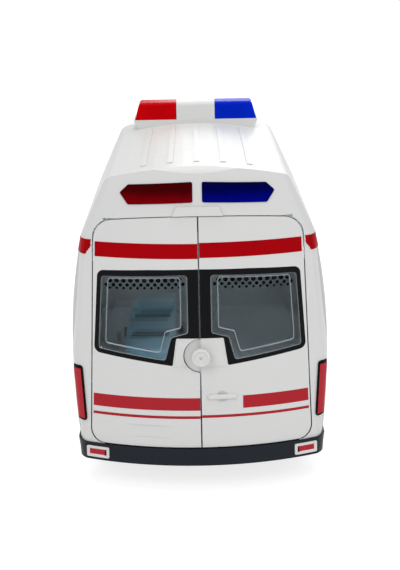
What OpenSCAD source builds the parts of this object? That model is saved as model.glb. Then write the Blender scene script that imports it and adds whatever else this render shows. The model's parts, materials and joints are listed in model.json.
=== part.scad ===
// Toy ambulance: a high-roof van with opening rear doors, rolling wheels and a friction motor.
// Lengths are in millimetres. +Y is the front, +X the right-hand side, +Z up, wheels on z = 0.

/* [Overall] */
// Length from the knob on the rear doors to the front bumper
overall_len = 247; // [240:1:256]
// Width of the body at the belt line
body_w = 113.4; // [109:0.5:116]
// Width at the seam under the roof cap, as a share of the belt's
seam_w_share = 0.8995; // [0.88:0.0005:0.92]
// Width at the sill, as a share of the belt's
sill_w_share = 0.9395; // [0.925:0.0005:0.96]
// Wall thickness of the moulded shells
wall = 2.2; // [1.8:0.1:2.5]

/* [Heights] */
// Lower edge of the body above the floor
sill_z = 13; // [12:0.25:14]
// Height of the belt line, where the body is widest
belt_z = 60; // [56:1:64]
// Height of the seam between the body and the roof cap
seam_z = 112.5; // [109:0.5:116]
// Height of the roof on the centre line
roof_z = 143.5; // [141:0.5:147]

/* [Rear face] */
// Forward lean of the rear face, in degrees
rear_lean = 4; // [3:0.25:5]
// Radius of the bulge of the rear face, seen from above
rear_r = 116; // [110:1:130]
// Radius of the upright rear corners
rear_corner_r = 9; // [7:0.5:10]

/* [Front] */
// Rake of the windshield from the upright, in degrees
shield_rake = 38; // [35:0.5:41]
// Radius of the windshield, seen along its slope
shield_r = 130; // [115:1:150]
// Distance from the front bumper back to the windshield at the seam
brow_setback = 49; // [46:0.5:52]
// Radius of the nose, seen from above
nose_r = 130; // [115:1:150]
// Radius of the front corners
nose_corner_r = 20; // [16:0.5:23]
// Height of the cowl, where the hood meets the windshield
cowl_z = 77; // [74:0.5:80]

/* [Rear doors] */
// Thickness of the door panels
door_t = 2; // [1.6:0.1:2.4]
// Gap between the two doors
door_split = 0.6; // [0.4:0.1:0.8]
// Gap between the doors and their frame
door_gap = 0.5; // [0.4:0.05:0.6]
// Width of the pillar beside the door at the seam
pillar_top_w = 5.8; // [5.2:0.1:6.4]
// Width of the pillar beside the door at the sill
pillar_low_w = 4.4; // [4:0.1:5]
// Rise of the doors above the seam on the centre line
door_rise = 9.9; // [9:0.1:10.8]
// Radius of the hinge barrels
barrel_r = 2.2; // [2:0.1:2.4]
// Radius of the hinge pins
pin_r = 0.8; // [0.7:0.05:1]
// Distance of the hinge line in from the door's outer edge
hinge_inset = 8; // [7.6:0.1:8.6]
// Depth of the hinge line behind the rear face
hinge_depth = 3; // [2.8:0.1:3.3]
// Radius of the pull knob
knob_r = 4.1; // [3.6:0.1:4.6]
// How far the knob stands out from the doors
knob_reach = 5; // [4.4:0.1:5.6]

/* [Wheels] */
// Radius of the tyres
wheel_r = 18; // [17:0.25:18.5]
// Width of the tyres
tyre_w = 13; // [11.5:0.25:14]
// Radius of the rims
rim_r = 12.2; // [11:0.1:13]
// Distance of the tyres in from the sides of the body
wheel_inset = 6.25; // [4.5:0.25:7]
// Radius of the steel axles
axle_r = 1.5; // [1.3:0.05:1.7]
// Place of the rear axle ahead of the rear face, as a share of the length
rear_axle_share = 0.2166; // [0.21:0.001:0.225]
// Distance between the two axles, as a share of the length
wheelbase_share = 0.583; // [0.57:0.001:0.595]

/* [Light bar] */
// Width of the light bar, as a share of the belt's
bar_w_share = 0.552; // [0.52:0.001:0.58]
// Depth of the light bar, front to back
bar_d = 18; // [16:0.5:20]
// Height of its lenses
bar_lens_h = 8.6; // [7.5:0.1:9.5]
// Width of the white middle block
bar_mid_w = 19.6; // [17:0.2:22]

/* [Friction motor] */
// Size of the gear teeth: pitch diameter for each tooth
gear_module = 0.7; // [0.66:0.01:0.72]
// Teeth of the gear on the rear axle
axle_teeth = 26; // [24:1:26]
// Teeth of both pinions
pinion_teeth = 10; // [9:1:10]
// Teeth of the idler's large gear
idler_teeth = 22; // [20:1:22]
// Radius of the flywheel
flywheel_r = 9.5; // [8.5:0.1:9.8]

/* [Inside] */
// Height of the floor of the patient compartment
floor_z = 41; // [40.6:0.1:42]
// Thickness of the inner mouldings
tub_t = 1.6; // [1.3:0.1:2]
// Diameter of a battery cell
cell_d = 14.5; // [13.5:0.1:14.8]
// Length of a battery cell
cell_len = 50.5; // [48:0.5:52]
// Length of the stretcher
cot_len = 84; // [76:1:88]
// Width of the stretcher
cot_w = 25; // [22:0.5:27]

/* [Hidden] */
PAIRS = [
    "headlight", "side_glazing", "mirror", "tail_light", "bumper_reflector", "rear_door",
    "window_surround", "rear_window", "hinge_pins", "front_rim", "front_tyre", "rear_rim", "rear_tyre"
];

$fn = 48;
// Facets of the large, gently curved body surfaces
body_fn = 720;
// Overrun of every cut past the face that it opens
over = 1;
// Reach of a tool body that has to pass right across the van
far = 400;
// Clearance between fixed pieces that drop into each other
fit = 0.2;
// Radial clearance of shafts in their bearings
run_fit = 0.05;
// Steps of a rounded corner in an outline
corner_steps = 6;
// Flats across half of the roof's crown
crown_steps = 6;

// Body frame
half_len = overall_len / 2;
half_w = body_w / 2;
seam_w = body_w * seam_w_share;
sill_w = body_w * sill_w_share;
bar_w = body_w * bar_w_share;
track_w = body_w - 2 * wheel_inset - tyre_w;
wheelbase = overall_len * wheelbase_share;
knob_drop = 50.5;
knob_z = seam_z - knob_drop;
tail_y = -half_len + knob_reach - (knob_z - sill_z) * tan(rear_lean);
bumper_proud = 1;
nose_y = half_len - bumper_proud;
brow_y = half_len - brow_setback;
rear_axle_y = tail_y + overall_len * rear_axle_share;
front_axle_y = rear_axle_y + wheelbase;
axle_z = wheel_r;
upper_sag = (body_w - seam_w) / 2;
upper_r = (pow(seam_z - belt_z, 2) + pow(upper_sag, 2)) / (2 * upper_sag);
lower_sag = (body_w - sill_w) / 2;
lower_r = (pow(belt_z - sill_z, 2) + pow(lower_sag, 2)) / (2 * lower_sag);

// Roof cap
flank_a = 24.5;
shoulder_r = 6;
crown_rise = 4.5;
crown_in = 19.7;
crown_half_w = half_w - crown_in;
crown_r = (pow(crown_half_w, 2) + pow(crown_rise, 2)) / (2 * crown_rise);
roof_edge_r = 5;
brow_edge_r = 14;
roof_tuck = 0.4;
rib_h = 0.5;
rib_w = 2.4;
rib_pitch = 11.5;
rib_count = 5;
rib_margin = 14;

// Hood and nose
hood_lip_z = 65;
hood_lip_back = 5;
nose_brow_z = 54;
nose_margin = 0.4;

// Rear bumper and sill
bumper_h = 7.5;
bumper_depth = 1.5;
bumper_wrap = 29;
sill_depth = 8;
reflector_in = 10.7;
reflector_w = 7.6;
reflector_h = 2.8;
reflector_proud = 0.4;

// Doors
door_low_z = sill_z + bumper_h + door_gap;
door_edge_low = sill_w / 2 - pillar_low_w;
door_edge_seam = seam_w / 2 - pillar_top_w;
door_edge_slope = (door_edge_seam - door_edge_low) / (seam_z - door_low_z);
door_top_z = seam_z + door_rise;
door_arch = 2.6;
door_top_r = 9;
door_low_r = 6;
door_arch_steps = 6;
sweep_clear = 0.4;
barrel_gap = 0.5;
barrel_low_drop = 57;
barrel_high_drop = 11;
barrel_high_rise = 5.6;
socket_rise = 8.2;
barrel_low_top_z = seam_z - barrel_low_drop;
barrel_high_low_z = seam_z - barrel_high_drop;
barrel_high_top_z = seam_z + barrel_high_rise;
socket_z = seam_z + socket_rise;
socket_h = 4.2;
socket_r = 2.7;
pin_reach = 4;
pin_clear = 0.06;

// Window surround and window, measured down from the seam
surround_t = 0.7;
surround_top_drop = 12.6;
surround_arch = 1.4;
surround_top_in = 12.8;
surround_low_drop = 50.4;
surround_low_in = 10.2;
notch_low_drop = 55;
notch_low_x = 12;
notch_top_drop = 42.8;
notch_top_x = 10.2;
window_in_x = 5.1;
window_top_drop = 15.3;
window_out_in = 14.6;
window_low_drop = 48.8;
window_low_in = 12.4;
window_step_drop = 40.6;
window_heel_drop = 52.7;
window_heel_x = 15.2;
window_knee_drop = 42.6;
window_knee_x = 12.5;
window_band = 3;
window_top_band = 0.9;
window_step_t = 0.8;
pane_t = 1.2;
window_corner_r = 1.4;
surround_corner_r = 3;

// Knob, its scoop and the bar handle
knob_x = 0.3;
knob_head_t = 2.6;
knob_stem_r = 2.1;
knob_rim_r = 1;
knob_ring_r = 2.6;
knob_ring_t = 0.5;
knob_dot_r = 0.7;
scoop_r = 7.6;
lug_r = 7.2;
lug_t = 1.4;
lug_depth = 1;
knob_seat = lug_depth + lug_t / 2;
boss_t = 0.4;
handle_x = 9.2;
handle_drop = 69;
handle_len = 13;
handle_r = 1.2;
dish_r = 4.5;
dish_lift = 3.5;
plate_in_x = 6.3;
plate_out_in = 16.7;
plate_drop = 84.6;
plate_w = half_w - plate_out_in - plate_in_x;
plate_h = 5.6;
plate_t = 0.5;

// Tail lights and rear warning lenses
tail_low_z = 30;
tail_top_z = 54.5;
tail_low_in = 6.1;
tail_top_in = 4.7;
tail_slant = 1.4;
tail_out_inset = 0.35;
tail_proud = 0.7;
tail_wrap = 20.5;
tail_depth = 0.9;
warn_in_x = 2.2;
warn_low_rise = 16.2;
warn_out_low_in = 27.1;
warn_out_low_rise = 15.2;
warn_tip_in = 23.9;
warn_tip_rise = 20;
warn_out_top_in = 27.5;
warn_out_top_rise = 23.4;
warn_top_rise = 24.6;
warn_proud = 0.5;
warn_flange = 1.2;
warn_flange_t = 1;
tab_low_x = 11;
tab_top_x = 9;
tab_h = 4.4;
tab_t = 0.9;
lamp_board_setback = 8.4;
lamp_board_in = 20;
lamp_board_w = 2 * (half_w - lamp_board_in);
lamp_board_h = 7;
board_t = 1.2;
led_r = 1.5;
led_h = 2.6;
led_x = 16;

// Front end
front_bumper_h = 17;
front_bumper_back = 21;
front_bumper_depth = 1.4;
intake_w = 52;
intake_h = 5;
grille_half_top = 25;
grille_half_low = 21;
grille_low_z = 45;
grille_h = 13;
grille_depth = 1.6;
grille_bar_count = 4;
lamp_in_low = 24;
lamp_in_top = 29;
lamp_low_z = 46;
lamp_top_z = 61;
lamp_proud = 0.6;
lamp_depth = 1.4;
lamp_back = 27;

// Glazing
shield_low = 42;
shield_high = 4;
shield_low_in = 10;
shield_top_in = 13;
shield_half_low = half_w - shield_low_in;
shield_half_top = half_w - shield_top_in;
shield_corner_r = 6;
glass_t = 1.4;
glass_inset = 0.3;
side_win_low_drop = 35;
side_win_h = 24;
cab_win_back = 80.5;
cab_win_len = 37;
cab_win_rake = 16;
mid_win_len = 42;
win_gap = 12;
cab_win_y0 = nose_y - cab_win_back;
cab_win_y1 = cab_win_y0 + cab_win_len;
mid_win_y1 = cab_win_y0 - win_gap;
mid_win_y0 = mid_win_y1 - mid_win_len;
side_win_r = 4;
strip_margin = 3;
strip_t = 1;

// Mirrors
mirror_ahead = 3.5;
mirror_y = cab_win_y1 + mirror_ahead;
mirror_drop = 34;
mirror_z = seam_z - mirror_drop;
mirror_reach = 4;
mirror_h = 9;
mirror_w = 5;
mirror_t = 4;
mirror_arm_r = 1.1;
mirror_plug = 1.8;

// Chassis, liners, bosses and screws
plate_thick = 2.5;
chassis_drop = 1.5;
chassis_z = sill_z - chassis_drop;
chassis_top = chassis_z + plate_thick;
arch_clear = 3;
liner_t = 1.4;
arch_r = wheel_r + arch_clear;
arch_lip = 2.4;
arch_lip_proud = 0.8;
wheel_side_clear = 1.6;
wheel_in_x = track_w / 2 - tyre_w / 2 - wheel_side_clear;
saddle_x = 25;
saddle_w = 6;
saddle_l = 9;
saddle_over = 4;
boss_r = 3.2;
boss_wall_in = 3;
boss_y_shares = [-0.31, 0.016, 0.356];
screw_r = 1.1;
screw_head_r = 2.1;
screw_head_h = 1.3;
screw_len = 9;

// Gears
gear_backlash_share = 0.26;
addendum_share = 0.8;
dedendum_share = 1.2;
pressure_a = 20;
gear_w = 4;
gear_side_gap = 0.7;
shaft_r = 1;
idler_a = 40;
flywheel_w = 6.2;
case_wall = 1.4;
case_clear = 1.2;
case_flange = 3;
collar_r = 2.6;

// Battery, electronics and switch
cell_gap = 0.5;
cell_count = 3;
cell_lift = 0.3;
cell_nub_r = 2.7;
cell_nub_h = 1.2;
pack_share = 0.503;
pack_y = rear_axle_y + wheelbase * pack_share;
tray_clear = 0.4;
pack_half = cell_count * (cell_d + cell_gap) / 2 + tray_clear;
cell_half = cell_len / 2 + cell_nub_h + tray_clear;
tray_t = 1.2;
tray_h = 9;
cover_t = 1.6;
cover_margin = 2;
board_w = 40;
board_d = 15;
board_ahead = 40;
board_y = pack_y + board_ahead;
board_lift = 4;
post_r = 1.5;
chip_w = 9;
chip_h = 1.8;
side_in = 18.7;
side_ahead = 14;
speaker_x = half_w - side_in;
speaker_y = pack_y + side_ahead;
speaker_r = 11;
speaker_h = 6;
cone_r = 9;
cone_depth = 2.5;
switch_x = -speaker_x;
switch_y = speaker_y;
switch_travel = 4;
switch_w = 3.4;
switch_l = 4.4;
switch_flange_w = 7;
switch_flange_l = 9;
switch_flange_t = 1.6;
switch_proud = 1.6;
switch_clear = 0.3;
rail_h = 1.6;
rail_t = 1.2;

// Interior
tub_clear = 0.6;
tub_rear = 12.5;
bulkhead_back = 10;
bulkhead_y = cab_win_y0 - bulkhead_back;
bulkhead_top_drop = 1.5;
bulkhead_win_w = 40;
bulkhead_win_h = 20;
bulkhead_win_drop = 24;
bulkhead_win_r = 4;
cab_front = 30;
seat_x = 24;
seat_w = 26;
seat_d = 26;
seat_h = 9;
seat_ahead = 28;
seat_y = bulkhead_y + seat_ahead;
seat_back_t = 7;
seat_back_h = 36;
seat_back_tilt = 8;
seat_r = 3;
head_w = 14;
head_h = 9;
dash_d = 13;
dash_h = 30;
dash_slope = 6;
wheel_ring_r = 7;
wheel_tube_r = 1;
wheel_tilt = 55;
hub_r = 2.2;
column_len = 9;
cot_x = -23;
cot_rear = 30;
cot_wheel_r = 2.6;
cot_wheel_w = 2;
cot_deck = 9.5;
cot_rail_r = 1.1;
cot_leg_shares = [0.2, 0.8];
cot_leg_ys = cot_len * cot_leg_shares;
bed_t = 4;
bed_rim = 1.2;
pillow_len = 17;
pillow_h = 2.6;
bed_r = 4;

// Helper functions

function unit(v) = v / norm(v);

// Outline moved inwards by d, for points that run anticlockwise
function inset(pts, d) = [
    for (i = [0 : len(pts) - 1])
        let (
            n = len(pts),
            e0 = unit(pts[i] - pts[(i + n - 1) % n]),
            e1 = unit(pts[(i + 1) % n] - pts[i]),
            n0 = [-e0[1], e0[0]],
            n1 = [-e1[1], e1[0]]
        )
        pts[i] + d * (n0 + n1) / (1 + n0 * n1)
];

// Points along an arc
function arc(c, r, a0, a1, n) = [for (i = [0 : n]) let (q = a0 + (a1 - a0) * i / n) c + r * [cos(q), sin(q)]];

// One corner of an outline, rounded to radius r
function corner_arc(a, p, b, r) =
    let (
        u = unit(a - p),
        v = unit(b - p),
        half = acos(u * v) / 2,
        c = p + unit(u + v) * r / sin(half),
        t0 = p + u * r / tan(half) - c,
        t1 = p + v * r / tan(half) - c,
        a0 = atan2(t0[1], t0[0]),
        turn = atan2(t1[1], t1[0]) - a0,
        sweep = turn > 180 ? turn - 360 : turn < -180 ? turn + 360 : turn
    )
    arc(c, r, a0, a0 + sweep, corner_steps);

// Whole outline with rounded corners; r is one radius or a list, 0 keeps a corner sharp
function rounded(pts, r) = [
    for (i = [0 : len(pts) - 1])
        let (n = len(pts), ri = is_list(r) ? r[i] : r)
        each (ri > 0 ? corner_arc(pts[(i + n - 1) % n], pts[i], pts[(i + 1) % n], ri) : [pts[i]])
];

// Half-width of the body at height z, o inside its outer face
function side_x(z, o = 0) =
    z >= belt_z
        ? body_w / 2 - upper_r + sqrt(pow(upper_r - o, 2) - pow(z - belt_z, 2))
        : body_w / 2 - lower_r + sqrt(pow(lower_r - o, 2) - pow(belt_z - z, 2));

// Rear face at height z and distance x from the centre line
function rear_arc(x, o = 0) = rear_r - sqrt(pow(rear_r - o, 2) - x * x);
function rear_y(x, z, o = 0) =
    tail_y + (z - sill_z) * tan(rear_lean) + rear_arc(x, o) / cos(rear_lean);
function roof_x(z) = seam_w / 2 - (z - seam_z) * tan(flank_a);
function door_edge_x(z) = door_edge_low + (z - door_low_z) * door_edge_slope;

// Hinge line of the right-hand door
function hinge_point(z) = [
    door_edge_x(z) - hinge_inset,
    rear_y(hinge_low_x, door_low_z) + hinge_depth + (z - door_low_z) * hinge_y_slope, z
];
hinge_top_x = door_edge_x(barrel_high_top_z) - hinge_inset;
hinge_low_x = door_edge_x(door_low_z) - hinge_inset;
hinge_y_slope = (rear_y(hinge_top_x, barrel_high_top_z) - rear_y(hinge_low_x, door_low_z))
    / (barrel_high_top_z - door_low_z);

// Roof shoulder: centre of the arc between the flank and the crown
crown_z = roof_z - crown_r;
flank_n = [cos(flank_a), sin(flank_a)];
flank_c = flank_n * [seam_w / 2, seam_z] - shoulder_r;
shoulder_b = flank_c * tan(flank_a) / cos(flank_a) + crown_z;
shoulder_k = 1 + pow(tan(flank_a), 2);
shoulder_q = pow(flank_c / cos(flank_a), 2) + crown_z * crown_z - pow(crown_r - shoulder_r, 2);
shoulder_z = (shoulder_b + sqrt(shoulder_b * shoulder_b - shoulder_k * shoulder_q)) / shoulder_k;
shoulder_x = flank_c / cos(flank_a) - shoulder_z * tan(flank_a);

// Placing helpers

// Stands children on the line from p to q, with their x and y kept level
module along(p, q) {
    d = unit(q - p);
    turn = atan2(d[1], d[0]);
    translate(p) rotate([0, acos(d[2]), turn]) rotate([0, 0, -turn]) children();
}

module up(z) translate([0, 0, z]) children();
module flip() mirror([1, 0, 0]) children();

// Runs an outline drawn in x and z from y0 to y1
module along_y(y0, y1) {
    translate([0, y1, 0]) rotate([90, 0, 0]) linear_extrude(y1 - y0) children();
}

// Runs an outline drawn in y and z from x0 to x1
module along_x(x0, x1) {
    translate([x0, 0, 0]) rotate([90, 0, 90]) linear_extrude(x1 - x0) children();
}

// Places children on the rear face, +Z pointing out of it
module on_rear(x, z) {
    translate([x, rear_y(x, z), z]) rotate([90 - rear_lean, 0, asin(x / rear_r)]) children();
}

module both_sides() {
    children();
    mirror([1, 0, 0]) children();
}

module box(x, y, z) {
    translate([x[0], y[0], z[0]]) cube([x[1] - x[0], y[1] - y[0], z[1] - z[0]]);
}

// Body forms: each takes o, the distance inside the outer face

module rear_form(o) {
    half = body_w;
    translate([0, tail_y, sill_z]) rotate([-rear_lean, 0, 0]) up(-far / 2) linear_extrude(far) {
        intersection() {
            translate([0, rear_r]) circle(rear_r - o, $fn = body_fn);
            translate([-half, 0]) translate([0, -rear_r]) square([2 * half, 2 * rear_r]);
        }
        translate([-half, rear_r]) square([2 * half, far]);
    }
}

module nose_form(o) {
    fx = body_w / 2 + nose_margin - nose_corner_r;
    cy = nose_y - nose_r;
    fy = cy + sqrt(pow(nose_r - nose_corner_r, 2) - fx * fx);
    reach = 2 * nose_r / (nose_r - nose_corner_r);
    edge = fx + nose_corner_r - o;
    up(-over) linear_extrude(roof_z) {
        intersection() {
            translate([0, cy]) circle(nose_r - o, $fn = body_fn);
            polygon([[0, cy], [fx * reach, cy + (fy - cy) * reach], [-fx * reach, cy + (fy - cy) * reach]]);
        }
        for (s = [-1, 1])
            translate([s * fx, fy]) circle(nose_corner_r - o, $fn = body_fn);
        polygon([[-edge, -far], [edge, -far], [edge, fy], [-edge, fy]]);
    }
}

module shield_form(o) {
    half = body_w;
    translate([0, brow_y, seam_z]) rotate([shield_rake, 0, 0]) up(-far / 2) linear_extrude(far) {
        intersection() {
            translate([0, -shield_r]) circle(shield_r - o, $fn = body_fn);
            translate([-half, -shield_r]) square([2 * half, shield_r]);
        }
        translate([-half, -shield_r - far]) square([2 * half, far]);
    }
}

module hood_form(o) {
    cowl_y = brow_y + (seam_z - cowl_z) * tan(shield_rake);
    along_x(-body_w, body_w) polygon([
        [0, -over], [half_len + over, -over], [half_len + over, nose_brow_z - o],
        [nose_y, nose_brow_z - o], [nose_y - hood_lip_back, hood_lip_z - o],
        [cowl_y, cowl_z - o], [0, cowl_z - o]
    ]);
}

// Round-over of the upright rear corners and of the roof cap's rear edges
module rear_corner_cut(o) {
    edges = [
        [[side_x(sill_z), sill_z], [side_x(belt_z), belt_z]],
        [[side_x(belt_z), belt_z], [side_x(seam_z), seam_z]],
        [[roof_x(seam_z), seam_z], [roof_x(shoulder_z), shoulder_z]]
    ];
    bite = rear_corner_r / 60;
    r = rear_corner_r - bite;
    slant = asin(body_w / 2 / rear_r);
    c = [-r, r * tan((90 - slant) / 2)];
    n = [sin(slant), -cos(slant)];
    reach = 2 * rear_corner_r;
    both_sides() for (e = edges) {
        p = [e[0][0], rear_y(e[0][0], e[0][1]), e[0][1]];
        q = [e[1][0], rear_y(e[1][0], e[1][1]), e[1][1]];
        along(p, q) up(-norm(q - p)) linear_extrude(3 * norm(q - p)) difference() {
            polygon([c, c + [reach, 0], c + [reach, -reach], c + n * reach]);
            translate(c) circle(rear_corner_r - o, $fn = body_fn);
        }
    }
}

module body_section(o, z0, z1) {
    intersection() {
        translate([-body_w, z0]) square([2 * body_w, z1 - z0]);
        intersection_for(s = [-1, 1]) union() {
            intersection() {
                translate([s * (body_w / 2 - upper_r), belt_z]) circle(upper_r - o, $fn = body_fn);
                translate([-body_w, belt_z]) square([2 * body_w, seam_z]);
            }
            intersection() {
                translate([s * (body_w / 2 - lower_r), belt_z]) circle(lower_r - o, $fn = body_fn);
                translate([-body_w, belt_z - seam_z]) square([2 * body_w, seam_z]);
            }
        }
    }
}

// The lower body, filled, from z0 to z1
module body_form(o, z0, z1) {
    difference() {
        intersection() {
            along_y(-half_len - over, half_len + over) body_section(o, z0, z1);
            rear_form(o);
            nose_form(o);
            union() {
                shield_form(o);
                hood_form(o);
            }
        }
        rear_corner_cut(o);
    }
}

module roof_section(o, z0) {
    edge = seam_w / 2 - o / cos(flank_a) + (seam_z - z0) * tan(flank_a);
    crown_a = atan2(shoulder_z - crown_z, shoulder_x);
    half = concat(
        [[edge, z0]],
        arc([shoulder_x, shoulder_z], shoulder_r - o, flank_a, crown_a, corner_steps),
        [for (i = [1 : crown_steps]) let (q = crown_a + (90 - crown_a) * i / crown_steps)
            [0, crown_z] + (crown_r - o) * [cos(q), sin(q)]]
    );
    polygon(concat(half, [for (i = [len(half) - 2 : -1 : 0]) [-half[i][0], half[i][1]]]));
}

// Side view of the roof: rounded at the rear edge and over the windshield
module roof_profile(o) {
    z0 = seam_z - 2 * over - o;
    rear = [for (z = [z0, roof_z]) [rear_y(0, z) - roof_tuck, z]];
    front = [for (z = [z0, roof_z]) [brow_y - (z - seam_z) * tan(shield_rake) + roof_tuck, z]];
    radii = [0, 0, brow_edge_r - o, roof_edge_r - o];
    polygon(rounded(inset([rear[0], front[0], front[1], rear[1]], o), radii));
}

// The roof cap, filled, from z0 upwards
module roof_form(o, z0) {
    difference() {
        intersection() {
            along_y(-half_len - over, half_len + over) roof_section(o, z0);
            along_x(-body_w, body_w) roof_profile(o);
            rear_form(o);
            shield_form(o);
        }
        rear_corner_cut(o);
    }
}

// A layer of the rear face between depths o0 and o1, cut to an outline drawn in x and z
module rear_layer(o0, o1) {
    difference() {
        intersection() {
            along_y(tail_y - rear_corner_r, rear_axle_y) children();
            rear_form(o0);
        }
        rear_form(o1);
    }
}

// A layer of the side wall between depths o0 and o1, cut to an outline drawn in y and z
module side_layer(o0, o1) {
    intersection() {
        along_x(0, body_w) children();
        along_y(-half_len, half_len) difference() {
            body_section(o0, sill_z - over, seam_z + over);
            body_section(o1, sill_z - over, seam_z + over);
        }
    }
}

// Outlines

// Right-hand door, grown by g on its frame sides
function door_outline(g, x0) =
    let (
        z0 = door_low_z - g,
        z1 = door_top_z + g,
        xl = door_edge_x(z0) + g,
        xt = door_edge_x(door_top_z - door_arch) + g,
        base = [
            [x0, z0], [xl, z0], [xt, z1 - door_arch],
            for (i = [door_arch_steps - 1 : -1 : 0])
                let (t = i / door_arch_steps * (1 - door_top_r / xt))
                [x0 + (xt - x0) * t, z1 - door_arch * t * t]
        ]
    )
    rounded(base, [0, door_low_r, door_top_r, for (i = [1 : door_arch_steps]) 0]);

surround_pts = [
    [door_split / 2, seam_z - notch_top_drop],
    [notch_top_x, seam_z - notch_top_drop],
    [notch_low_x, seam_z - notch_low_drop],
    [half_w - surround_low_in, seam_z - surround_low_drop],
    [half_w - surround_top_in, seam_z - surround_top_drop - surround_arch],
    [(half_w - surround_top_in) / 2, seam_z - surround_top_drop - surround_arch / 4],
    [door_split / 2, seam_z - surround_top_drop]
];
surround_radii = [0, surround_t, surround_t, surround_corner_r, surround_corner_r, 0, 0];
window_pts = [
    [window_in_x, seam_z - window_step_drop],
    [window_knee_x, seam_z - window_knee_drop],
    [window_heel_x, seam_z - window_heel_drop],
    [half_w - window_low_in, seam_z - window_low_drop],
    [half_w - window_out_in, seam_z - window_top_drop - surround_arch],
    [window_in_x, seam_z - window_top_drop]
];

module surround_outline() {
    polygon(rounded(surround_pts, surround_radii));
}

module window_outline(d) {
    polygon(rounded(inset(window_pts, d), window_corner_r));
}

module rounded_rect(w, h, r) {
    polygon(rounded([[-w / 2, -h / 2], [w / 2, -h / 2], [w / 2, h / 2], [-w / 2, h / 2]], r));
}

// Notch plate round the knob, one half
module notch_plate_outline(x0) {
    polygon([
        [x0, seam_z - notch_low_drop], [notch_low_x - surround_t, seam_z - notch_low_drop],
        [notch_top_x - surround_t, seam_z - notch_top_drop - surround_t],
        [x0, seam_z - notch_top_drop - surround_t]
    ]);
}

function warn_outline(d) = rounded(inset([
    [warn_in_x, seam_z + warn_low_rise], [half_w - warn_out_low_in, seam_z + warn_out_low_rise],
    [half_w - warn_tip_in, seam_z + warn_tip_rise], [half_w - warn_out_top_in, seam_z + warn_out_top_rise],
    [warn_in_x, seam_z + warn_top_rise]
], d), window_corner_r / 2);

tail_outer_top = side_x(tail_top_z) - tail_out_inset;
tail_outer_low = side_x(tail_low_z) - tail_out_inset;
module tail_outline() {
    polygon(rounded([
        [half_w - tail_low_in, tail_low_z], [tail_outer_low, tail_low_z],
        [tail_outer_top, tail_top_z], [half_w - tail_top_in, tail_top_z + tail_slant / 2]
    ], [tail_slant, 0, 0, tail_slant]));
}

module lamp_outline() {
    polygon(rounded([
        [lamp_in_low, lamp_low_z], [body_w, lamp_low_z], [body_w, lamp_top_z], [lamp_in_top, lamp_top_z]
    ], [window_corner_r, 0, 0, window_corner_r]));
}

module grille_outline(d) {
    polygon(rounded(inset([
        [-grille_half_low, grille_low_z], [grille_half_low, grille_low_z],
        [grille_half_top, grille_low_z + grille_h], [-grille_half_top, grille_low_z + grille_h]
    ], d), window_corner_r));
}

module shield_outline(d) {
    polygon(rounded(inset([
        [-shield_half_low, -shield_low], [shield_half_low, -shield_low],
        [shield_half_top, -shield_high], [-shield_half_top, -shield_high]
    ], d), shield_corner_r));
}

module cab_window_outline(d) {
    z0 = seam_z - side_win_low_drop;
    polygon(rounded(inset([
        [cab_win_y0, z0], [cab_win_y1, z0],
        [cab_win_y1 - cab_win_rake, z0 + side_win_h], [cab_win_y0, z0 + side_win_h]
    ], d), side_win_r));
}

module mid_window_outline(d) {
    z0 = seam_z - side_win_low_drop;
    polygon(rounded(inset([
        [mid_win_y0, z0], [mid_win_y1, z0], [mid_win_y1, z0 + side_win_h], [mid_win_y0, z0 + side_win_h]
    ], d), side_win_r));
}

// A gear outline with straight-sided teeth, thinned for backlash
module gear_outline(teeth) {
    rp = gear_module * teeth / 2;
    half_tooth = gear_module * PI / 4 * (1 - gear_backlash_share);
    radii = [
        rp - gear_module * dedendum_share, rp,
        rp + gear_module * addendum_share, rp + gear_module * addendum_share,
        rp, rp - gear_module * dedendum_share
    ];
    signs = [-1, -1, -1, 1, 1, 1];
    polygon([
        for (i = [0 : teeth - 1])
            for (k = [0 : len(radii) - 1])
                let (
                    w = half_tooth - (radii[k] - rp) * tan(pressure_a),
                    a = 360 * i / teeth + signs[k] * w / radii[k] * 180 / PI
                )
                radii[k] * [cos(a), sin(a)]
    ]);
}

// Gear train places, seen from the right-hand side
idler_dist = gear_module * (axle_teeth + pinion_teeth) / 2;
flywheel_dist = gear_module * (idler_teeth + pinion_teeth) / 2;
idler_y = rear_axle_y + idler_dist * cos(idler_a);
idler_z = axle_z + idler_dist * sin(idler_a);
flywheel_y = idler_y + flywheel_dist;
flywheel_z = idler_z;
axle_gear_r = gear_module * (axle_teeth / 2 + addendum_share);
// The axle gear and the idler pinion run in the first plane, the idler gear in the second
plane_a_x = gear_side_gap;
plane_b_x = -gear_w - gear_side_gap;
flywheel_x = plane_b_x - gear_side_gap - flywheel_w;
case_x = [flywheel_x - case_clear - case_wall, plane_a_x + gear_w + case_clear + case_wall];
case_y = [
    rear_axle_y - axle_gear_r - case_clear - case_wall,
    flywheel_y + flywheel_r + case_clear + case_wall
];
case_z = [
    axle_z - axle_gear_r - case_clear - case_wall,
    flywheel_z + flywheel_r + case_clear + case_wall
];
// Turns that bring a tooth of each driven pinion into a gap of its driver
idler_phase = idler_a + 180 + (180 + idler_a * axle_teeth) / pinion_teeth;
flywheel_phase = 180 + (180 - idler_phase * idler_teeth) / pinion_teeth;

module on_shaft(y, z) {
    translate([0, y, z]) rotate([90, 0, 90]) children();
}

module shaft_bore(y, z, r) {
    on_shaft(y, z) up(-far / 2) cylinder(r = r, h = far);
}

// Shell and trim

module arch_cut(y, r) {
    on_shaft(y, axle_z) up(wheel_in_x) cylinder(r = r, h = body_w);
    box([wheel_in_x, body_w], [y - r, y + r], [-over, axle_z]);
}

module hinge_line(z0, z1, r) {
    p = hinge_point(z0);
    q = hinge_point(z1);
    along(p, q) cylinder(r = r, h = norm(q - p));
}

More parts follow.
